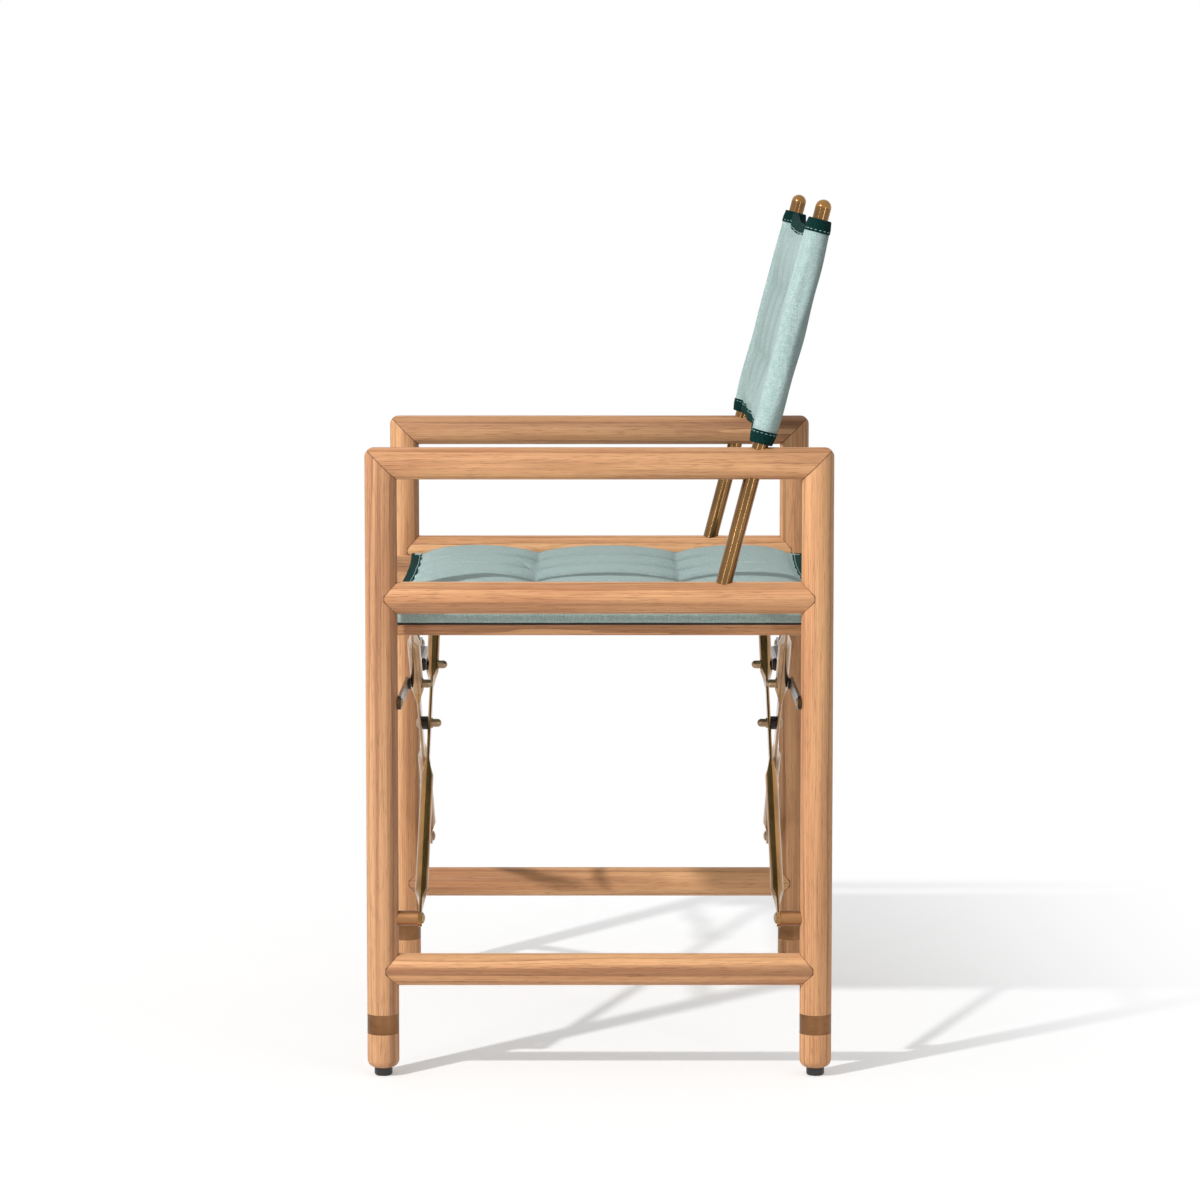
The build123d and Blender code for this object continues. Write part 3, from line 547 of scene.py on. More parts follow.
# A darker copy of the teak: partly the wood's own tone, partly painted shade on the near front post and the
# far arm, which should look less lit
DARKER_TEAK_TONES = (paint(211, 158, 113), paint(167, 114, 79))
TUBE_TONES = (paint(140, 106, 67), paint(86, 62, 38))
BAR_TONES = (paint(176, 132, 80), paint(112, 82, 48))
PLUG_TONES = (paint(172, 128, 76), paint(118, 86, 50))
SATIN_TONES = (paint(172, 125, 84), paint(130, 92, 60))
FERRULE_TONES = (paint(142, 102, 69), paint(106, 74, 48))
PALE_TONES = (paint(178, 152, 120), paint(120, 98, 74))
BRONZE_TONES = (paint(80, 62, 46), paint(42, 32, 25))
CANVAS_TONES = (paint(198, 215, 212), paint(148, 180, 175))
# Painted shade for the quilting's creases and valleys
CANVAS_SHADE = paint(44, 68, 66)
BINDING_TONES = (paint(12, 58, 54), paint(3, 32, 31))
THREAD_TONES = (paint(186, 216, 210), paint(150, 190, 184))
PLASTIC_TONES = (paint(44, 43, 42), paint(26, 25, 25))

RUN_UP = (0.0, 0.0, 0.0)
RUN_FORWARD = (90.0, 0.0, 0.0)
RUN_ACROSS = (0.0, 90.0, 0.0)
TEAK_RELIEF = 0.25 * MM
POLISHED_RELIEF = 0.006 * MM
SATIN_RELIEF = 0.02 * MM
MOULDED_RELIEF = 0.05 * MM
CANVAS_RELIEF = 0.22 * MM
TAPE_RELIEF = 0.2 * MM
POLISHED_ROUGHNESS = 0.12
OILED = (("Specular IOR Level", 0.4),)
METAL = (("Metallic", 1.0),)
CLOTH = (("Sheen Weight", 0.12), ("Sheen Roughness", 0.45), ("Specular IOR Level", 0.2))
TAPE = (
    ("Sheen Weight", 0.07),
    ("Sheen Roughness", 0.35),
    ("Sheen Tint", paint(60, 150, 128)),
    ("Specular IOR Level", 0.1),
)


def teak(name: str, turn: Turn, joint: Joint, tones: Tones = TEAK_TONES) -> Finish:
    """Makes an oiled teak finish from how its grain runs and which joint shows as a line."""
    return Finish(name, Effect.TEAK, *tones, TEAK_RELIEF, turn, joint, (("Streak", TEAK_STREAK),), OILED)


def satin(name: str, turn: Turn, tones: Tones, roughness: float) -> Finish:
    """Makes a satin metal finish from how its brushing runs."""
    rough = (("Roughness", roughness),)
    return Finish(name, Effect.METAL, *tones, SATIN_RELIEF, turn, extra=rough, shader=METAL)


def brass(name: str, turn: Turn, tones: Tones) -> Finish:
    """Makes an aged, polished brass finish from how its brushing runs."""
    rough = (("Roughness", POLISHED_ROUGHNESS),)
    return Finish(name, Effect.METAL, *tones, POLISHED_RELIEF, turn, extra=rough, shader=METAL)


def moulded(name: str, tones: Tones, roughness: float, shader: tuple = ()) -> Finish:
    """Makes a finish with a fine grain, for plastic or thread."""
    rough = (("Roughness", roughness),)
    return Finish(name, Effect.MOULDED, *tones, MOULDED_RELIEF, extra=rough, shader=shader)


SATIN_BRASS = satin("satin_brass", RUN_FORWARD, SATIN_TONES, 0.38)
FERRULE = satin("ferrule_brass", RUN_FORWARD, FERRULE_TONES, 0.38)
PALE_BRASS = satin("pale_brass", RUN_FORWARD, PALE_TONES, 0.28)
BRONZE = satin("dark_bronze", RUN_ACROSS, BRONZE_TONES, 0.26)
BLACK = moulded("black_plastic", PLASTIC_TONES, 0.42)
THREAD = moulded("aqua_thread", THREAD_TONES, 0.7, CLOTH)
CANVAS = Finish(
    "aqua_canvas",
    Effect.WEAVE,
    *CANVAS_TONES,
    CANVAS_RELIEF,
    extra=(("Pitch", WEAVE_PITCH),),
    shader=CLOTH,
    painted_shade=CANVAS_SHADE,
)
BINDING = Finish(
    "green_binding",
    Effect.WEAVE,
    *BINDING_TONES,
    TAPE_RELIEF,
    extra=(("Pitch", TAPE_PITCH),),
    shader=TAPE,
)
SCREWS = ("pivot_screws", "link_screws", "seat_rail_pins")
BOLTS = ("centre_bolts", "centre_nuts", "link_studs", "link_bolts")


@dataclass(frozen=True)
class FrameSizes:
    """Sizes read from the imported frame, in metres and radians."""

    rod_r: float
    frame_x: float
    post_y: float
    arm_z: float
    back_lean: float
    bar_lean: float
    frame_closing: float
    seat_closing: float
    hem_z: float
    hem_end: float
    joint_line: float = 0.3 * MM
    # Half-height of the painted shadow line under the hem
    hem_gap: float = 2.2 * MM

    @classmethod
    def measured(cls) -> FrameSizes:
        """Measures the frame's nodes and joints.

        Returns:
            The sizes, with how far each side frame and seat rail comes in when the chair folds.
        """
        low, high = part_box("right_front_post")
        arm_low, arm_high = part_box("right_arm")
        wrap_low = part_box("right_seat_wrap")[0]
        joints = {joint["name"]: joint for joint in frame["joints"]}
        pivots = ("fold", "bar_crossing", "right_seat_pivot")
        foot, crossing, top = (Vector(joints[name]["pos_m"]) for name in pivots)
        lean = math.atan2(top.x - crossing.x, top.z - crossing.z)
        turn = math.radians(joints["fold"]["range_deg"][1])
        kept = math.sin(lean - turn) / math.sin(lean)
        return cls(
            rod_r=(high.x - low.x) / 2,
            frame_x=(high.x + low.x) / 2,
            post_y=-(high.y + low.y) / 2,
            arm_z=(arm_high.z + arm_low.z) / 2,
            back_lean=axis_lean("right_back_tube"),
            bar_lean=lean,
            frame_closing=foot.x * (1 - kept),
            seat_closing=top.x * (1 - kept),
            hem_z=wrap_low.z,
            hem_end=-wrap_low.y,
        )


def axis_lean(node: str) -> float:
    """Finds how far a round tube leans towards +Y, from its box.

    Args:
        node: The tube's node.

    Returns:
        The angle from upright.
    """
    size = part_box(node)[1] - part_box(node)[0]
    lean = 0.0
    for _ in range(LEAN_ROUNDS):
        lean = math.atan2(size.y - size.x * math.cos(lean), size.z - size.x * math.sin(lean))
    return lean


def add_piece(name: str, shape: BMesh, finish: Material) -> Object:
    """Turns a bmesh into a smooth piece at the origin.

    Args:
        name: The piece's name.
        shape: The bmesh, which is freed.
        finish: The piece's material.

    Returns:
        The piece.
    """
    mesh = bpy.data.meshes.new(name)
    shape.to_mesh(mesh)
    shape.free()
    mesh.shade_smooth()
    mesh.materials.append(finish)
    piece = bpy.data.objects.new(name, mesh)
    bpy.context.scene.collection.objects.link(piece)
    return piece


def settle(piece: Object) -> None:
    """Applies a piece's modifiers to its mesh."""
    shown = piece.evaluated_get(bpy.context.evaluated_depsgraph_get())
    mesh = bpy.data.meshes.new_from_object(shown)
    piece.modifiers.clear()
    piece.data = mesh


def carry(made: dict[Object, str], body: str) -> None:
    """Lets pieces ride on a body.

    Args:
        made: The slot's name by piece.
        body: The body that carries them.
    """
    for piece, slot in made.items():
        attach(piece, body)
        LOG.info("%s: %d faces", piece.name, len(piece.data.polygons))


@dataclass(frozen=True)
class Cut:
    """A flat cut of cloth: its size, the size of its mesh's cells and its thickness."""

    width: float
    length: float
    cell: tuple[float, float]
    thick: float

    def laid(self, name: str, spot: Spot, flip: bool, finish: Material) -> Object:
        """Lays the cut out by a rule, with its flat places kept as UVs in metres.

        Args:
            name: The piece's name.
            spot: Where a flat place goes.
            flip: Whether the rule turns the cloth's show side in.
            finish: The cloth's material.

        Returns:
            The piece.
        """
        shape = bmesh.new()
        columns, rows = round(self.width / self.cell[0]), round(self.length / self.cell[1])
        bmesh.ops.create_grid(shape, x_segments=columns, y_segments=rows, size=0.5)
        bmesh.ops.translate(shape, verts=shape.verts[:], vec=(0.5, 0.5, 0.0))
        bmesh.ops.scale(shape, verts=shape.verts[:], vec=(self.width, self.length, 1.0))
        keep_flat(shape)
        for vert in shape.verts:
            vert.co = spot(vert.co.x, vert.co.y)
        bmesh.ops.remove_doubles(shape, verts=shape.verts[:], dist=MERGE)
        if flip:
            bmesh.ops.reverse_faces(shape, faces=shape.faces[:])
        piece = add_piece(name, shape, finish)
        wall = piece.modifiers.new("thickness", "SOLIDIFY")
        wall.thickness = self.thick
        wall.offset = -1.0
        return piece


def keep_flat(shape: BMesh) -> None:
    """Keeps each corner's flat place as its UV."""
    layer = shape.loops.layers.uv.new("UVMap")
    for face in shape.faces:
        for loop in face.loops:
            loop[layer].uv = loop.vert.co.xy


def sew(
    shape: BMesh, path: Callable[[float], Vector], length: float, pitch: float = STITCH_PITCH
) -> None:
    """Adds a row of stitches.

    Args:
        shape: The bmesh that gets them.
        path: The place at a distance along the row.
        length: The row's length.
        pitch: The distance from stitch to stitch.
    """
    count = max(1, round(length / pitch))
    for number in range(count):
        middle = (number + 0.5) / count
        reach = STITCH_SHARE / count / 2
        start, end = path((middle - reach) * length), path((middle + reach) * length)
        run = end - start
        size = Matrix.Diagonal((run.length / 2, STITCH_THICK / 2, STITCH_THICK / 2, 1.0))
        turn = run.to_track_quat("X", "Z").to_matrix().to_4x4()
        place = Matrix.Translation((start + end) / 2) @ turn @ size
        bmesh.ops.create_icosphere(shape, subdivisions=1, radius=1.0, matrix=place)


def pillow(spot: float, marks: Sequence[float], power: float) -> float:
    """Gives a row of pillows: 0 on each mark and outside them, 1 midway between two.

    Args:
        spot: The place along the row.
        marks: The places that are sewn down, in order.
        power: 1 for round pillows, less for flatter ones.

    Returns:
        The share of the full swell.
    """
    for low, high in zip(marks, marks[1:]):
        if low < spot < high:
            share = (2 * spot - low - high) / (high - low)
            return (1 - share * share) ** power
    return 0.0


def eased(share: float) -> float:
    """Eases a share from 0 to 1."""
    share = min(1.0, max(0.0, share))
    return share * share * (3 - 2 * share)


@dataclass
class QuiltedPanel:
    """A quilted sling panel: a stuffed pad with sewn tufts, and tape folded over its two free edges.

    In its own axes X runs across the chair, Y from the low bound edge to the high one, and Z out of the show
    side. Heights are along that Z.
    """

    name: str
    body: str
    place: Matrix
    half_x: float
    held_x: float
    half_y: float
    tuft_x: float
    tufts_y: tuple[float, float]
    closing: float
    crown: float
    saddle: float
    pinch: float
    reach: float
    crease: float
    under: float
    edge_low: float
    edge_high: float
    draw: dict[Edge, float]
    ripple: float
    swell: float
    nodes: dict[Edge, str]
    rest: float = 2.2 * MM
    cell: float = 4 * MM
    tuck: float = 3 * MM
    rise: float = 30 * MM

    @property
    def inner_y(self) -> float:
        """Half the length between the tapes' inner edges."""
        return self.half_y - TAPE_WIDTH

    @property
    def tape_r(self) -> float:
        """Radius of the tape's fold."""
        return (self.edge_high - self.edge_low) / 2 + TAPE_THICK

    @property
    def rolls_over(self) -> bool:
        """Whether the pad lies over what holds it, and doesn't end there."""
        return self.half_x > self.held_x

    def draw_in(self, x: float, edge: Edge) -> float:
        """How far a bound edge is drawn in at a place across the panel."""
        return self.draw[edge] * (1 - min(1.0, abs(x) / self.held_x) ** 2)

    def wave(self, x: float, edge: Edge) -> float:
        """Height of a slack bound edge's ripples at a place across the panel."""
        share = 1 - min(1.0, abs(x) / self.held_x) ** 4
        return self.ripple * share * noise.noise((x * RIPPLE_CELLS, edge.value * 2.7, len(self.name)))

    def outward(self, y: float) -> float:
        """How far a place lies from the tuft rows to the tape: 0 between the rows, 1 at the tape."""
        row = self.tufts_y[1]
        return min(1.0, max(0.0, abs(y) - row) / (self.inner_y - row))

    def swells(self, x: float, y: float) -> tuple[float, float]:
        """Gives how far the pad swells at a place, across the panel and along it, each from 0 to 1."""
        end = self.inner_y - TAPE_CLEAR
        lines = (-self.half_x, -self.tuft_x, 0.0, self.tuft_x, self.half_x)
        across = pillow(x, lines, FINGER_ROUND)
        return across, pillow(y, (-end, *self.tufts_y, end), PILLOW_ROUND)

    def creased(self, x: float, y: float) -> float:
        """How deep a place lies in a crease along the panel: 0 on a crest, 1 at a tuft."""
        near = math.exp(-abs(abs(y) - self.tufts_y[1]) / self.reach)
        share = self.crease + (1 - self.crease) * near
        between = (-self.half_x, *(step * self.tuft_x / 2 for step in range(-3, 4)), self.half_x)
        pucker = PUCKER_SHARE * near * near * (1 - pillow(x, between, FINGER_ROUND))
        return max(pucker, share * (1 - self.swells(x, y)[0])) * (1 - eased(self.outward(y)))

    def painted_shade(self, x: float, y: float) -> float:
        """How much painted shade darkens a place in the creases and the valleys between the tufts."""
        valley = VALLEY_SHADE * (1 - self.swells(x, y)[1]) * (1 - self.outward(y))
        return max(valley, self.creased(x, y) ** SHADE_SHARP)

    def quilted(self, x: float, y: float) -> tuple[float, float]:
        """Gives the pad's sewn shape as if it had no ends: fingers that narrow into creases at the tufts.

        Args:
            x: Place across the panel.
            y: Place along it, as if its edges were straight.

        Returns:
            The heights of the show side and of the other side.
        """
        across, along = self.swells(x, y)
        valley = self.saddle + (self.edge_high - self.saddle) * self.outward(y)
        crest = valley + (self.crown - valley) * along
        below = self.edge_low + (self.under - self.edge_low) * across * along
        return crest - self.pinch * self.creased(x, y), below

    def heights(self, x: float, y: float) -> tuple[float, float]:
        """Gives the pad's shape, with its ends let into the sleeves or rolled over the rails.

        Args:
            x: Place across the panel.
            y: Place along it, as if its edges were straight.

        Returns:
            The heights of the show side and of the other side.
        """
        top, below = self.quilted(x, y)
        if self.rolls_over:
            past = max(0.0, abs(x) - self.held_x) / (self.half_x - self.held_x)
            top = self.rest + (top - self.rest) * math.sqrt(max(0.0, 1 - past * past))
            below += (self.rest - below) * eased((abs(x) - self.held_x) / self.tuck + 1)
        else:
            fade = eased((self.half_x - abs(x)) / self.rise)
            top = self.edge_high + (top - self.edge_high) * fade
            below = self.edge_low + (below - self.edge_low) * fade
        edge = Edge.HIGH if y > 0 else Edge.LOW
        wave = self.wave(x, edge) * (1 - eased((self.inner_y - abs(y)) / (2 * self.rise)))
        return max(top, below + PAD_EDGE) + wave, below + wave

    def is_sewn(self, x: float, y: float, upper: bool) -> bool:
        """Tells whether a place of the pad is held: at its edges, at its tufts and on the rails.

        Args:
            x: Place across the panel.
            y: Place along it.
            upper: Whether it is on the show side.

        Returns:
            Whether it is held.
        """
        on_edge = abs(x) > self.half_x - self.cell / 2 or abs(y) > self.inner_y - self.cell / 4
        on_rail = not upper and abs(x) > self.held_x - 2 * self.tuck
        aside = min(abs(x), abs(abs(x) - self.tuft_x))
        along = abs(abs(y) - self.tufts_y[1])
        in_crease = aside < self.cell / 2 and along < self.reach
        return on_edge or on_rail or in_crease or math.hypot(aside, along) < TUFT_HOLD

    def pad(self, finish: Material) -> Object:
        """Makes the whole stuffed pad in the panel's own axes.

        Args:
            finish: The canvas.

        Returns:
            The pad, swollen and settled, with its middle column on the cut between the halves.
        """
        shape = bmesh.new()
        painted_shade = shape.verts.layers.float.new(SHADE_ATTRIBUTE)
        columns, rows = 2 * round(self.half_x / self.cell), 2 * round(self.half_y / self.cell)
        bmesh.ops.create_grid(shape, x_segments=columns, y_segments=rows, size=1.0)
        straight = self.half_y - self.tuck
        bmesh.ops.scale(shape, verts=shape.verts[:], vec=(self.half_x, straight, 1.0))
        keep_flat(shape)
        upper = bmesh.ops.extrude_face_region(shape, geom=shape.faces[:])["geom"]
        upper = {item for item in upper if isinstance(item, BMVert)}
        sewn = []
        shape.verts.index_update()
        for vert in shape.verts:
            x, y = vert.co.x, vert.co.y
            if self.is_sewn(x, y, vert in upper):
                sewn.append(vert.index)
            top, below = self.heights(x, y)
            # Painted shade: how dark the place is painted in the creases and valleys
            vert[painted_shade] = self.painted_shade(x, y)
            drawn = self.draw_in(x, Edge.HIGH if y > 0 else Edge.LOW)
            vert.co.y = y * (straight - drawn) / straight
            vert.co.z = top if vert in upper else below
        bmesh.ops.recalc_face_normals(shape, faces=shape.faces[:])
        pad = add_piece(f"{self.name}_pad", shape, finish)
        self.stuff(pad, sewn)
        smooth = pad.modifiers.new("smooth", "SUBSURF")
        smooth.levels = smooth.render_levels = 1
        settle(pad)
        for vertex in pad.data.vertices:
            if abs(vertex.co.x) < self.cell / 4:
                vertex.co.x = 0.0
        return pad

    def stuff(self, pad: Object, sewn: list[int]) -> None:
        """Swells the pad by a cloth simulation, held where it is sewn.

        Args:
            pad: The pad, in the panel's own axes.
            sewn: The vertices that are held.
        """
        rest = [vertex.co.copy() for vertex in pad.data.vertices]
        pad.vertex_groups.new(name="sewn").add(sewn, 1.0, "REPLACE")
        cloth = pad.modifiers.new("stuffing", "CLOTH")
        for name, value in STUFFING.items():
            setattr(cloth.settings, name, value)
        cloth.settings.vertex_group_mass = "sewn"
        cloth.settings.effector_weights.gravity = 0.0
        cloth.collision_settings.use_collision = False
        cloth.point_cache.frame_end = STUFFING_FRAMES
        scene = bpy.context.scene
        for number in range(1, STUFFING_FRAMES + 1):
            scene.frame_set(number)
        shown = pad.evaluated_get(bpy.context.evaluated_depsgraph_get())
        swollen = [vertex.co.copy() for vertex in shown.data.vertices]
        pad.modifiers.remove(cloth)
        scene.frame_set(1)
        for vertex, start, end in zip(pad.data.vertices, rest, swollen):
            move = end - start
            vertex.co = start + move * min(1.0, self.swell / max(move.length, MERGE))

    def cut_pad(
        self, whole: Mesh, name: str, cuts: dict[float, int], finish: Material
    ) -> Object:
        """Cuts a piece out of the pad, with the cuts closed.

        Args:
            whole: The whole pad's mesh.
            name: The piece's name.
            cuts: Where across the panel it is cut, with the sign of the side that goes away.
            finish: The canvas.

        Returns:
            The piece, in its place on the chair.
        """
        shape = bmesh.new()
        shape.from_mesh(whole)
        for x, away in cuts.items():
            parts = [*shape.verts, *shape.edges, *shape.faces]
            cut = {"plane_co": (x, 0, 0), "plane_no": (away, 0, 0)}
            bmesh.ops.bisect_plane(shape, geom=parts, dist=MERGE, clear_outer=True, **cut)
            rim = [edge for edge in shape.edges if edge.is_boundary]
            for edge in rim:
                edge.smooth = False
            bmesh.ops.holes_fill(shape, edges=rim, sides=0)
        bmesh.ops.transform(shape, matrix=self.place, verts=shape.verts[:])
        piece = add_piece(name, shape, finish)
        return piece

    def roll(self, whole: Mesh, side: Side, finish: Material) -> None:
        """Cuts off the pad's end that lies on a rail, which moves with the rail.

        Args:
            whole: The whole pad's mesh.
            side: The end.
            finish: The canvas.
        """
        cuts = {side.value * self.held_x: -side.value}
        piece = self.cut_pad(whole, f"{side.word}_{self.name}_roll", cuts, finish)
        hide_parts(f"{side.word}_{self.name}_wrap")
        carry({piece: "canvas"}, f"{side.word}_{self.body}")

    def tape_spot(self, x: float, across: float, edge: Edge) -> Vector:
        """Places a bit of tape on a bound edge.

        Args:
            x: Place across the panel.
            across: Distance over the tape, from its inner edge on the show side round to the other side.
            edge: The bound edge.

        Returns:
            The place on the chair.
        """
        radius = self.tape_r
        flange = TAPE_WIDTH - radius
        turn = min(math.pi, max(0.0, (across - flange) / radius))
        past = max(0.0, across - flange - math.pi * radius)
        inset = TAPE_WIDTH - min(across, flange) - radius * math.sin(turn) + past
        middle = (self.edge_high + self.edge_low) / 2
        cells = (x * PUCKER_CELLS[0], inset * PUCKER_CELLS[1], edge.value * 5 + len(self.name))
        pucker = TAPE_PUCKER * noise.noise(cells)
        height = middle + self.wave(x, edge) + (radius + pucker) * math.cos(turn)
        slip = TAPE_PUCKER * noise.noise((x * SLIP_CELLS, 9.0, edge.value * 3)) * math.cos(turn) ** 2
        outer = self.half_y - self.draw_in(x, edge) - inset + slip
        return self.place @ Vector((x, edge.value * outer, height))

    def tape(self, side: Side, edge: Edge, finish: Material) -> Object:
        """Makes one half of the tape on a bound edge.

        Args:
            side: The half.
            edge: The bound edge.
            finish: The tape's material.

        Returns:
            The tape.
        """
        cut = self.tape_cut
        name = f"{side.word}_{self.nodes[edge]}"
        flip = side.value * edge.value < 0
        return cut.laid(name, lambda x, across: self.tape_spot(side.value * x, across, edge), flip, finish)

    @property
    def tape_cut(self) -> Cut:
        """The flat cut of one half of a tape."""
        radius = self.tape_r
        across = 2 * (TAPE_WIDTH - radius) + math.pi * radius
        return Cut(self.held_x, across, TAPE_CELL, TAPE_THICK)

    def stitches(self, side: Side, finish: Material) -> Object:
        """Sews one half of the panel: a row on each side of each tape, and the tacks of the tufts.

        Args:
            side: The half.
            finish: The thread.

        Returns:
            The stitches.
        """
        shape = bmesh.new()
        cut = self.tape_cut
        for edge in Edge:
            for across in (STITCH_INSET, cut.length - STITCH_INSET):
                sew(shape, lambda x, a=across, e=edge: self.tape_spot(side.value * x, a, e), cut.width)
        for y in self.tufts_y:
            self.tack(shape, 0.0, side.value * TACK_LENGTH / 2, y)
            self.tack(shape, side.value * self.tuft_x - TACK_LENGTH / 2, TACK_LENGTH, y)
        return add_piece(f"{side.word}_{self.name}_stitches", shape, finish)

    def tack(self, shape: BMesh, x: float, run: float, y: float) -> None:
        """Sews a tuft's tack on both sides of the pad.

        Args:
            shape: The bmesh that gets the threads.
            x: Where the threads start.
            run: How far they run across the panel.
            y: The tuft's place along the panel.
        """
        for level in self.heights(x + run / 2, y):
            for number in range(TACK_THREADS):
                start = Vector((x, y + (number - (TACK_THREADS - 1) / 2) * STITCH_THICK, level))
                step = Vector((math.copysign(1.0, run), 0, 0))
                sew(shape, lambda d, s=start: self.place @ (s + d * step), abs(run), abs(run))

    def fold_away(self, piece: Object) -> None:
        """Gives a half's piece a mesh of its own.

        Args:
            piece: The piece.
        """
        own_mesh(piece)

    def build(self, finishes: Finishes) -> None:
        """Builds both halves of the panel, its tapes and its stitches.

        Args:
            finishes: The materials.
        """
        whole = self.pad(finishes.canvas)
        for side in Side:
            cuts = {0.0: -side.value}
            if self.rolls_over:
                cuts[side.value * self.held_x] = side.value
                self.roll(whole.data, side, finishes.canvas)
            pad = self.cut_pad(whole.data, f"{side.word}_{self.name}_pad", cuts, finishes.canvas)
            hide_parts(f"{self.name}_panel")
            made = {pad: "canvas", self.stitches(side, finishes.thread): "canvas"}
            for edge in Edge:
                tape = self.tape(side, edge, finishes.binding)
                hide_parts(self.nodes[edge])
                self.tape_cut.width
                self.tape_cut.length
                made[tape] = "binding"
            carry(made, f"{side.word}_{self.body}")
            for piece in made:
                self.fold_away(piece)
        bpy.data.objects.remove(whole)


@dataclass
class BackSleeve:
    """The canvas sleeve on one back tube, with a tape band round each end. It uses the back panel's axes."""

    side: Side
    place: Matrix
    centre_x: float
    radius: float
    half_length: float
    loose: float = 1.7 * MM
    lip: float = 1.2 * MM
    turned_in: float = 4 * MM

    def spot(self, angle: float, y: float, lift: float = 0.0) -> Vector:
        """Places a bit of the sleeve.

        Args:
            angle: Angle round the tube, 0 towards the panel and a quarter turn towards the show side.
            y: Place along the sleeve.
            lift: Distance out from the sleeve's skin.

        Returns:
            The place on the chair.
        """
        free = 1 - (y / self.half_length) ** 4
        near, up = SLACK_ROUND * math.cos(angle), SLACK_ROUND * math.sin(angle)
        uneven = SLACK_UNEVEN * noise.noise((near + 4, up, y * SLACK_CELLS + self.side.value))
        behind = SLACK_BEHIND * max(0.0, -math.sin(angle))
        slack = free * self.loose * (SLACK_EVEN + uneven + behind)
        round_far = abs(math.remainder(angle, math.tau))
        welt = WELT_HIGH * math.exp(-(((round_far - WELT_AT) / WELT_WIDTH) ** 2)) * min(1.0, 4 * free)
        radius = self.radius + max(0.0, slack) + welt + lift
        x = self.side.value * (self.centre_x - radius * math.cos(angle))
        return self.place @ Vector((x, y, radius * math.sin(angle)))

    def band_spot(self, angle: float, across: float, edge: Edge) -> Vector:
        """Places a bit of the tape round an end: over the outside, round the end and a little way in.

        Args:
            angle: Angle round the tube.
            across: Distance over the tape from its edge on the outside.
            edge: The sleeve's end.

        Returns:
            The place on the chair.
        """
        turn = min(math.pi, max(0.0, (across - TAPE_WIDTH) / self.lip))
        past = max(0.0, across - TAPE_WIDTH - math.pi * self.lip)
        out = self.half_length - self.lip - TAPE_WIDTH + min(across, TAPE_WIDTH)
        out += self.lip * math.sin(turn) - past
        near, up = BAND_ROUND * math.cos(angle), BAND_ROUND * math.sin(angle)
        pucker = BAND_PUCKER * noise.noise((near, up, out * BAND_CELLS))
        return self.spot(angle, edge.value * out, TAPE_THICK + pucker - self.lip * (1 - math.cos(turn)))

    def build(self, finishes: Finishes) -> None:
        """Builds the sleeve, its bands and its stitches.

        Args:
            finishes: The materials.
        """
        word, around = self.side.word, 2 * math.pi * self.radius
        flip = self.side is Side.LEFT
        cut = Cut(around, 2 * (self.half_length - self.lip), SLEEVE_CELL, CANVAS_THICK)
        sleeve = cut.laid(
            f"{word}_back_sleeve_cloth",
            lambda a, y: self.spot(a / self.radius, y - cut.length / 2),
            flip,
            finishes.canvas,
        )
        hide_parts(f"{word}_back_sleeve")
        made = {sleeve: "canvas"}
        thread = bmesh.new()
        across = TAPE_WIDTH + math.pi * self.lip + self.turned_in
        band_cut = Cut(around, across, BAND_CELL, TAPE_THICK)
        for edge in Edge:
            band = band_cut.laid(
                f"{word}_sleeve_{'top' if edge is Edge.HIGH else 'bottom'}_band",
                lambda a, s, e=edge: self.band_spot(a / self.radius, s, e),
                flip != (edge is Edge.LOW),
                finishes.binding,
            )
            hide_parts(f"{word}_sleeve_bands")
            made[band] = "binding"
            sew(thread, lambda a, e=edge: self.band_spot(a / self.radius, STITCH_INSET, e), around)
        seam = 2 * (self.half_length - TAPE_WIDTH)
        for angle in SLEEVE_SEAMS:
            sew(thread, lambda d, t=angle: self.spot(t, d - seam / 2), seam)
        stitches = add_piece(f"{word}_sleeve_stitches", thread, finishes.thread)
        made[stitches] = "canvas"
        carry(made, f"{word}_frame")


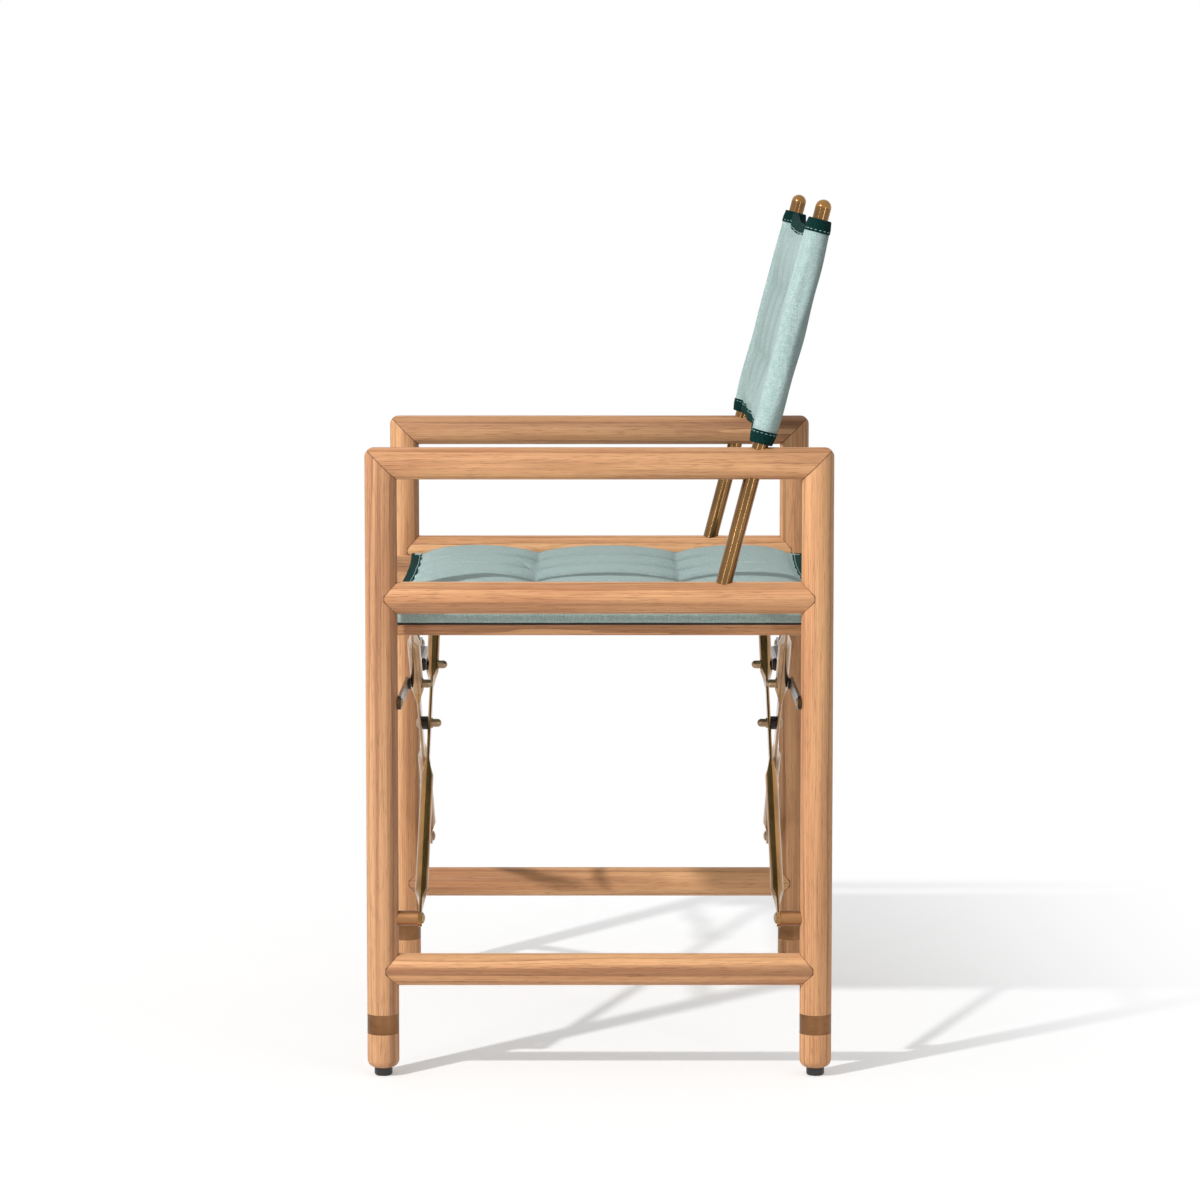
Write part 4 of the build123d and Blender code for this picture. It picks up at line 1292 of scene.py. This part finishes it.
@dataclass
class SeatWrap:
    """The seat's canvas over one seat rail: across the top and down the outer face to a hem."""

    side: Side
    inner_x: float
    outer_x: float
    top_z: float
    hem_z: float
    front_y: float
    rear_y: float
    tuck: float = 1.5 * MM
    corner_r: float = 3.4 * MM
    hem: float = 10 * MM
    hem_step: float = 0.5 * MM
    fold_r: float = 0.9 * MM
    wave: float = 1.2 * MM

    @property
    def flat(self) -> float:
        """Width of the cloth on the rail's top, to where it turns down."""
        return self.outer_x - self.corner_r - self.inner_x + self.tuck

    @property
    def bend(self) -> float:
        """Length of cloth round the rail's outer corner."""
        return self.corner_r * math.pi / 2

    @property
    def drop(self) -> float:
        """Length of cloth down the outer face."""
        return self.top_z - self.corner_r - self.hem_z - self.fold_r

    def spot(self, across: float, y: float, lift: float = 0.0) -> Vector:
        """Places a bit of the wrap.

        Args:
            across: Distance over the cloth from its inner edge, over the rail, down to the hem and up inside.
            y: Place along the rail, from its front end.
            lift: Distance out from the cloth's skin.

        Returns:
            The place on the chair.
        """
        turn = min(math.pi / 2, max(0.0, (across - self.flat) / self.corner_r))
        down = min(self.drop, max(0.0, across - self.flat - self.bend))
        past = across - self.flat - self.bend - self.drop
        fold = min(math.pi, max(0.0, past / self.fold_r))
        inside = max(0.0, past - math.pi * self.fold_r)
        radius = self.corner_r + lift
        dip = self.tuck * (1 - eased(across / (3 * self.tuck)))
        x = self.inner_x - self.tuck + min(across, self.flat) + radius * math.sin(turn)
        z = self.top_z - self.corner_r - dip + radius * math.cos(turn) - down
        uneven = noise.noise((y * FLUTTER_CELLS, 2.0, self.side.value))
        flutter = self.wave * eased(down / self.drop) * (1 + uneven)
        hem = self.hem_step * eased((down - self.drop + self.hem) / (2 * MM))
        x += flutter + hem - self.fold_r * (1 - math.cos(fold))
        z += inside - self.fold_r * math.sin(fold)
        return Vector((self.side.value * x, self.front_y + y, z))

    def end_spot(self, across: float, over: float, edge: Edge) -> Vector:
        """Places a bit of the tape over an end of the wrap.

        Args:
            across: Distance over the wrap's cloth.
            over: Distance over the tape from its edge.
            edge: The wrap's front or rear end.

        Returns:
            The place on the chair.
        """
        turned = max(0.0, over - TAPE_WIDTH)
        inset = TAPE_WIDTH - min(over, TAPE_WIDTH)
        y = inset if edge is Edge.LOW else self.rear_y - self.front_y - inset
        cells = (across * END_CELLS[0], over * END_CELLS[1], edge.value * 2)
        pucker = END_PUCKER * noise.noise(cells)
        return self.spot(across, y, TAPE_THICK + pucker - turned)

    def build(self, finishes: Finishes) -> None:
        """Builds the wrap, the tapes over its ends and its stitches.

        Args:
            finishes: The materials.
        """
        word, length = self.side.word, self.rear_y - self.front_y
        to_hem = self.flat + self.bend + self.drop
        width = to_hem + math.pi * self.fold_r + self.hem
        flip = self.side is Side.LEFT
        cut = Cut(width, length, WRAP_CELL, WRAP_CLOTH_THICK)
        wrap = cut.laid(f"{word}_seat_wrap_cloth", self.spot, flip, finishes.canvas)
        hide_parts(f"{word}_seat_wrap")
        made = {wrap: "canvas"}
        thread = bmesh.new()
        hem_row = to_hem - HEM_ROW * self.hem
        sew(thread, lambda y: self.spot(hem_row, y), length)
        over = self.flat + self.bend
        end_cut = Cut(over, TAPE_WIDTH + TAPE_THICK, END_TAPE_CELL, END_TAPE_THICK)
        for edge in Edge:
            end = end_cut.laid(
                f"{word}_wrap_{'rear' if edge is Edge.HIGH else 'front'}_tape",
                lambda a, s, e=edge: self.end_spot(a, s, e),
                flip != (edge is Edge.LOW),
                finishes.binding,
            )
            made[end] = "binding"
            sew(thread, lambda a, e=edge: self.end_spot(a, STITCH_INSET, e), over)
        stitches = add_piece(f"{word}_wrap_stitches", thread, finishes.thread)
        made[stitches] = "canvas"
        carry(made, f"{word}_seat")


class Finishes:
    """The chair's materials: those of the frame's nodes by name, and those of the soft goods."""

    def __init__(self, effects: Effects, sizes: FrameSizes) -> None:
        """Builds every material.

        Args:
            effects: The shared node groups.
            sizes: The frame's sizes, for how its tubes and bars lean.
        """
        lean, cross = math.degrees(sizes.back_lean), math.degrees(sizes.bar_lean)
        self.frame = {
            teak("teak_post", RUN_UP, Joint.MITRE): ("rear_post", "left_front_post"),
            # Darker teak on the near front post and the far arm: partly the wood's tone, partly painted shade
            teak("darker_teak_post", RUN_UP, Joint.MITRE, DARKER_TEAK_TONES): ("right_front_post",),
            teak("teak_arm", RUN_FORWARD, Joint.MITRE): ("right_arm",),
            teak("darker_teak_arm", RUN_FORWARD, Joint.MITRE, DARKER_TEAK_TONES): ("left_arm",),
            teak("teak_rail", RUN_FORWARD, Joint.COPE): ("side_rail", "lower_rail"),
            teak("teak_seat_rail", RUN_FORWARD, Joint.HEM): ("seat_rail", "frame_dowels"),
            brass("brass_back_tube", (lean, 0.0, 0.0), TUBE_TONES): ("back_tube",),
            brass("brass_back_plug", (lean, 0.0, 0.0), PLUG_TONES): ("back_plug",),
            brass("brass_bar_a", (0.0, cross, 0.0), BAR_TONES): ("front_bar_a", "rear_bar_a"),
            brass("brass_bar_b", (0.0, -cross, 0.0), BAR_TONES): ("front_bar_b", "rear_bar_b"),
            SATIN_BRASS: ("pivot_bosses",),
            FERRULE: ("ferrules",),
            PALE_BRASS: SCREWS + BOLTS,
            BRONZE: ("stay_links",),
            BLACK: ("glides", "link_washers", "centre_spacers"),
        }
        self.effects = effects
        self.canvas = CANVAS.material(effects)
        self.binding = BINDING.material(effects)
        self.thread = THREAD.material(effects)

    def dress_frame(self) -> None:
        """Gives every node of the frame its material."""
        by_part = {}
        for finish, parts in self.frame.items():
            made = finish.material(self.effects)
            by_part.update({part: made for part in parts})
        for name, node in frame["nodes"].items():
            made = by_part.get(name) or by_part.get(name.removeprefix("right_").removeprefix("left_"))
            if made:
                node.data.materials.clear()
                node.data.materials.append(made)
                LOG.info("%s: %s", name, made.name)


class Studio:
    """The pale floor, the soft light and the camera at the photograph's place."""

    CAMERA_SPOT = Vector((4.5621, 0.00065, 0.9192))
    CAMERA_PITCH = 0.1019
    LENS_MM = 130.28
    SENSOR_MM = 36.0
    KEY_SPOT = Vector((2.2, -1.9, 2.42))
    KEY_RADIUS = 0.07
    KEY_POWER = 365.0
    STRIP_SPOTS = (Vector((2.19, -1.22, 0.77)), Vector((2.1, 1.35, 0.45)))
    STRIP_SIZE = (0.08, 0.9)
    STRIP_POWER = 4.0
    AIM = Vector((0.0, 0.0, 0.6))
    FILL_LIGHT = 0.45
    FLOOR_HALF = 12.0
    FLOOR_PAINT = 0.8
    FLOOR_LEVEL = 1.0
    FADE_REAR = (0.24, 0.76)
    FADE_FAR = (-1.0, -0.82)

    def build(self) -> None:
        """Sets up the floor, the world, the lamps and the camera."""
        scene = bpy.context.scene
        scene.view_settings.view_transform = "Standard"
        self.camera(scene)
        self.key_light()
        self.strip_lights()
        self.world(scene)
        self.floor()

    def camera(self, scene: Scene) -> None:
        """Places the camera and makes it the scene's."""
        lens = bpy.data.cameras.new("camera")
        lens.lens = self.LENS_MM
        lens.sensor_width = self.SENSOR_MM
        camera = bpy.data.objects.new("camera", lens)
        ahead = Vector((-math.cos(self.CAMERA_PITCH), 0.0, -math.sin(self.CAMERA_PITCH)))
        camera.location = self.CAMERA_SPOT
        camera.rotation_euler = ahead.to_track_quat("-Z", "Y").to_euler()
        scene.collection.objects.link(camera)
        scene.camera = camera

    def hang(self, lamp: Light, spot: Vector) -> None:
        """Hangs a lamp where it is out of the picture, turned to the chair.

        Args:
            lamp: The lamp.
            spot: Its place.
        """
        hung = bpy.data.objects.new(lamp.name, lamp)
        hung.location = spot
        hung.rotation_euler = (spot - self.AIM).to_track_quat("Z", "Y").to_euler()
        hung.visible_camera = False
        bpy.context.scene.collection.objects.link(hung)

    def key_light(self) -> None:
        """Sets the key lamp high on the camera's side, towards the chair's front."""
        lamp = bpy.data.lights.new("key", "POINT")
        lamp.shadow_soft_size = self.KEY_RADIUS
        lamp.energy = self.KEY_POWER
        self.hang(lamp, self.KEY_SPOT)

    def strip_lights(self) -> None:
        """Sets a weak upright strip on either hand, which streaks the brass."""
        for spot in self.STRIP_SPOTS:
            lamp = bpy.data.lights.new("strip", "AREA")
            lamp.shape = "RECTANGLE"
            lamp.size, lamp.size_y = self.STRIP_SIZE
            lamp.energy = self.STRIP_POWER
            self.hang(lamp, spot)

    def shown_rays(self, sheet: NodeSheet) -> NodeSocket:
        """Gives 1 for the rays that show the background: camera, glossy and transmission rays."""
        path = sheet.add("ShaderNodeLightPath").outputs
        shown = sheet.math("MAXIMUM", path["Is Camera Ray"], path["Is Glossy Ray"])
        return sheet.math("MAXIMUM", shown, path["Is Transmission Ray"])

    def world(self, scene: Scene) -> None:
        """Makes a white surround that lights the chair softly."""
        world = bpy.data.worlds.new("surround")
        sheet = NodeSheet.cleared(world)
        strength = sheet.step(self.shown_rays(sheet), 0.0, 1.0, self.FILL_LIGHT, 1.0)
        glow = sheet.add("ShaderNodeBackground", {"Color": (1.0, 1.0, 1.0, 1.0), "Strength": strength})
        sheet.add("ShaderNodeOutputWorld", {"Surface": glow.outputs[0]})
        scene.world = world

    def floor(self) -> None:
        """Lays a floor that shows white, with the chair's shadow, which fades out towards the rear.

        The floor's glow makes up for the light that its paint lacks and for the lamp's fall-off.
        """
        made = bpy.data.materials.new("floor")
        sheet = NodeSheet.cleared(made)
        spot = sheet.add("ShaderNodeTexCoord").outputs["Object"]
        axes = sheet.add("ShaderNodeSeparateXYZ", {0: spot}).outputs
        paint_level = sheet.step(axes[1], *self.FADE_REAR, self.FLOOR_PAINT, 0.0)
        paint_level = sheet.math("MULTIPLY", paint_level, sheet.step(axes[0], *self.FADE_FAR))
        dull = sheet.add("ShaderNodeBsdfDiffuse", {"Color": paint_level})
        ends = {0: spot, 1: tuple(self.KEY_SPOT)}
        far = sheet.add("ShaderNodeVectorMath", ends, operation="DISTANCE").outputs["Value"]
        share = self.KEY_POWER * self.KEY_SPOT.z / (2 * math.pi) ** 2
        lit = sheet.math("MULTIPLY_ADD", sheet.math("POWER", far, -3.0), share, self.FILL_LIGHT)
        glow = sheet.math("SUBTRACT", self.FLOOR_LEVEL, sheet.math("MULTIPLY", lit, paint_level))
        strength = sheet.math("MULTIPLY", self.shown_rays(sheet), glow)
        glow = sheet.add("ShaderNodeEmission", {"Strength": strength})
        both = sheet.add("ShaderNodeAddShader", {0: dull.outputs[0], 1: glow.outputs[0]})
        sheet.add("ShaderNodeOutputMaterial", {"Surface": both.outputs[0]})
        shape = bmesh.new()
        bmesh.ops.create_grid(shape, x_segments=1, y_segments=1, size=self.FLOOR_HALF)
        add_piece("floor", shape, made)


def quilted_seat(sizes: FrameSizes) -> QuiltedPanel:
    """Sizes the seat's panel from the seat rails and the CAD wraps.

    Args:
        sizes: The frame's sizes.

    Returns:
        The seat's panel.
    """
    wrap_low, wrap_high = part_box("right_seat_wrap")
    rail_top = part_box("right_seat_rail")[1].z
    middle = (wrap_low.y + wrap_high.y) / 2
    tuft_y = 75.5 * MM
    return QuiltedPanel(
        name="seat",
        body="seat",
        place=Matrix.Translation((0.0, middle, rail_top)),
        half_x=wrap_high.x - 3 * MM,
        held_x=wrap_low.x,
        half_y=(wrap_high.y - wrap_low.y) / 2,
        tuft_x=104 * MM,
        tufts_y=(-tuft_y, tuft_y),
        closing=sizes.seat_closing,
        crown=12.5 * MM,
        saddle=4.5 * MM,
        pinch=9 * MM,
        reach=26 * MM,
        crease=0.18,
        under=-7 * MM,
        edge_low=-4 * MM,
        edge_high=2 * MM,
        draw={Edge.LOW: 3 * MM, Edge.HIGH: 3.5 * MM},
        ripple=1 * MM,
        swell=1.6 * MM,
        nodes={Edge.LOW: "seat_front_binding", Edge.HIGH: "seat_rear_binding"},
    )


def quilted_back(sizes: FrameSizes) -> QuiltedPanel:
    """Sizes the back's panel from the CAD sleeves.

    Args:
        sizes: The frame's sizes.

    Returns:
        The back's panel.
    """
    low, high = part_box("right_back_sleeve")
    radius = (high.x - low.x) / 2
    middle = Vector((0.0, (low.y + high.y) / 2, (low.z + high.z) / 2))
    length = (high.z - low.z - 2 * radius * math.sin(sizes.back_lean)) / math.cos(sizes.back_lean)
    turn = Euler((math.pi / 2 - sizes.back_lean, 0.0, 0.0)).to_matrix().to_4x4()
    half_x = low.x + SLEEVE_OVERLAP
    return QuiltedPanel(
        name="back",
        body="frame",
        place=Matrix.Translation(middle) @ turn,
        half_x=half_x,
        held_x=half_x,
        half_y=length / 2,
        tuft_x=half_x / 2,
        tufts_y=(-length / 6, length / 6),
        closing=sizes.frame_closing,
        crown=10 * MM,
        saddle=7.5 * MM,
        pinch=9.5 * MM,
        reach=34 * MM,
        crease=0.6,
        under=-6 * MM,
        edge_low=-3 * MM,
        edge_high=3 * MM,
        draw={Edge.LOW: 4 * MM, Edge.HIGH: 10 * MM},
        ripple=6 * MM,
        swell=1.6 * MM,
        nodes={Edge.LOW: "back_bottom_binding", Edge.HIGH: "back_top_binding"},
    )


def back_sleeve(side: Side, panel: QuiltedPanel, sizes: FrameSizes) -> BackSleeve:
    """Sizes a sleeve on one side from its CAD node and the back's panel."""
    low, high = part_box("right_back_sleeve")
    return BackSleeve(side, panel.place, sizes.frame_x, (high.x - low.x) / 2, panel.half_y)


def seat_wrap(side: Side) -> SeatWrap:
    """Sizes a wrap from its CAD node.

    Args:
        side: The side that it is on.

    Returns:
        The wrap.
    """
    low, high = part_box("right_seat_wrap")
    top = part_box("right_seat_rail")[1].z + WRAP_THICK
    return SeatWrap(side, low.x, high.x, top, low.z, low.y, high.y)


def main() -> None:
    """Dresses the frame, builds the soft goods and sets up the studio."""
    logging.basicConfig(level=logging.INFO, format="%(name)s: %(message)s")
    sizes = FrameSizes.measured()
    finishes = Finishes(Effects(sizes), sizes)
    finishes.dress_frame()
    seat, back = quilted_seat(sizes), quilted_back(sizes)
    for panel in (seat, back):
        panel.build(finishes)
    for side in Side:
        back_sleeve(side, back, sizes).build(finishes)
        seat_wrap(side).build(finishes)
    Studio().build()


if __name__ == "__main__":
    main()
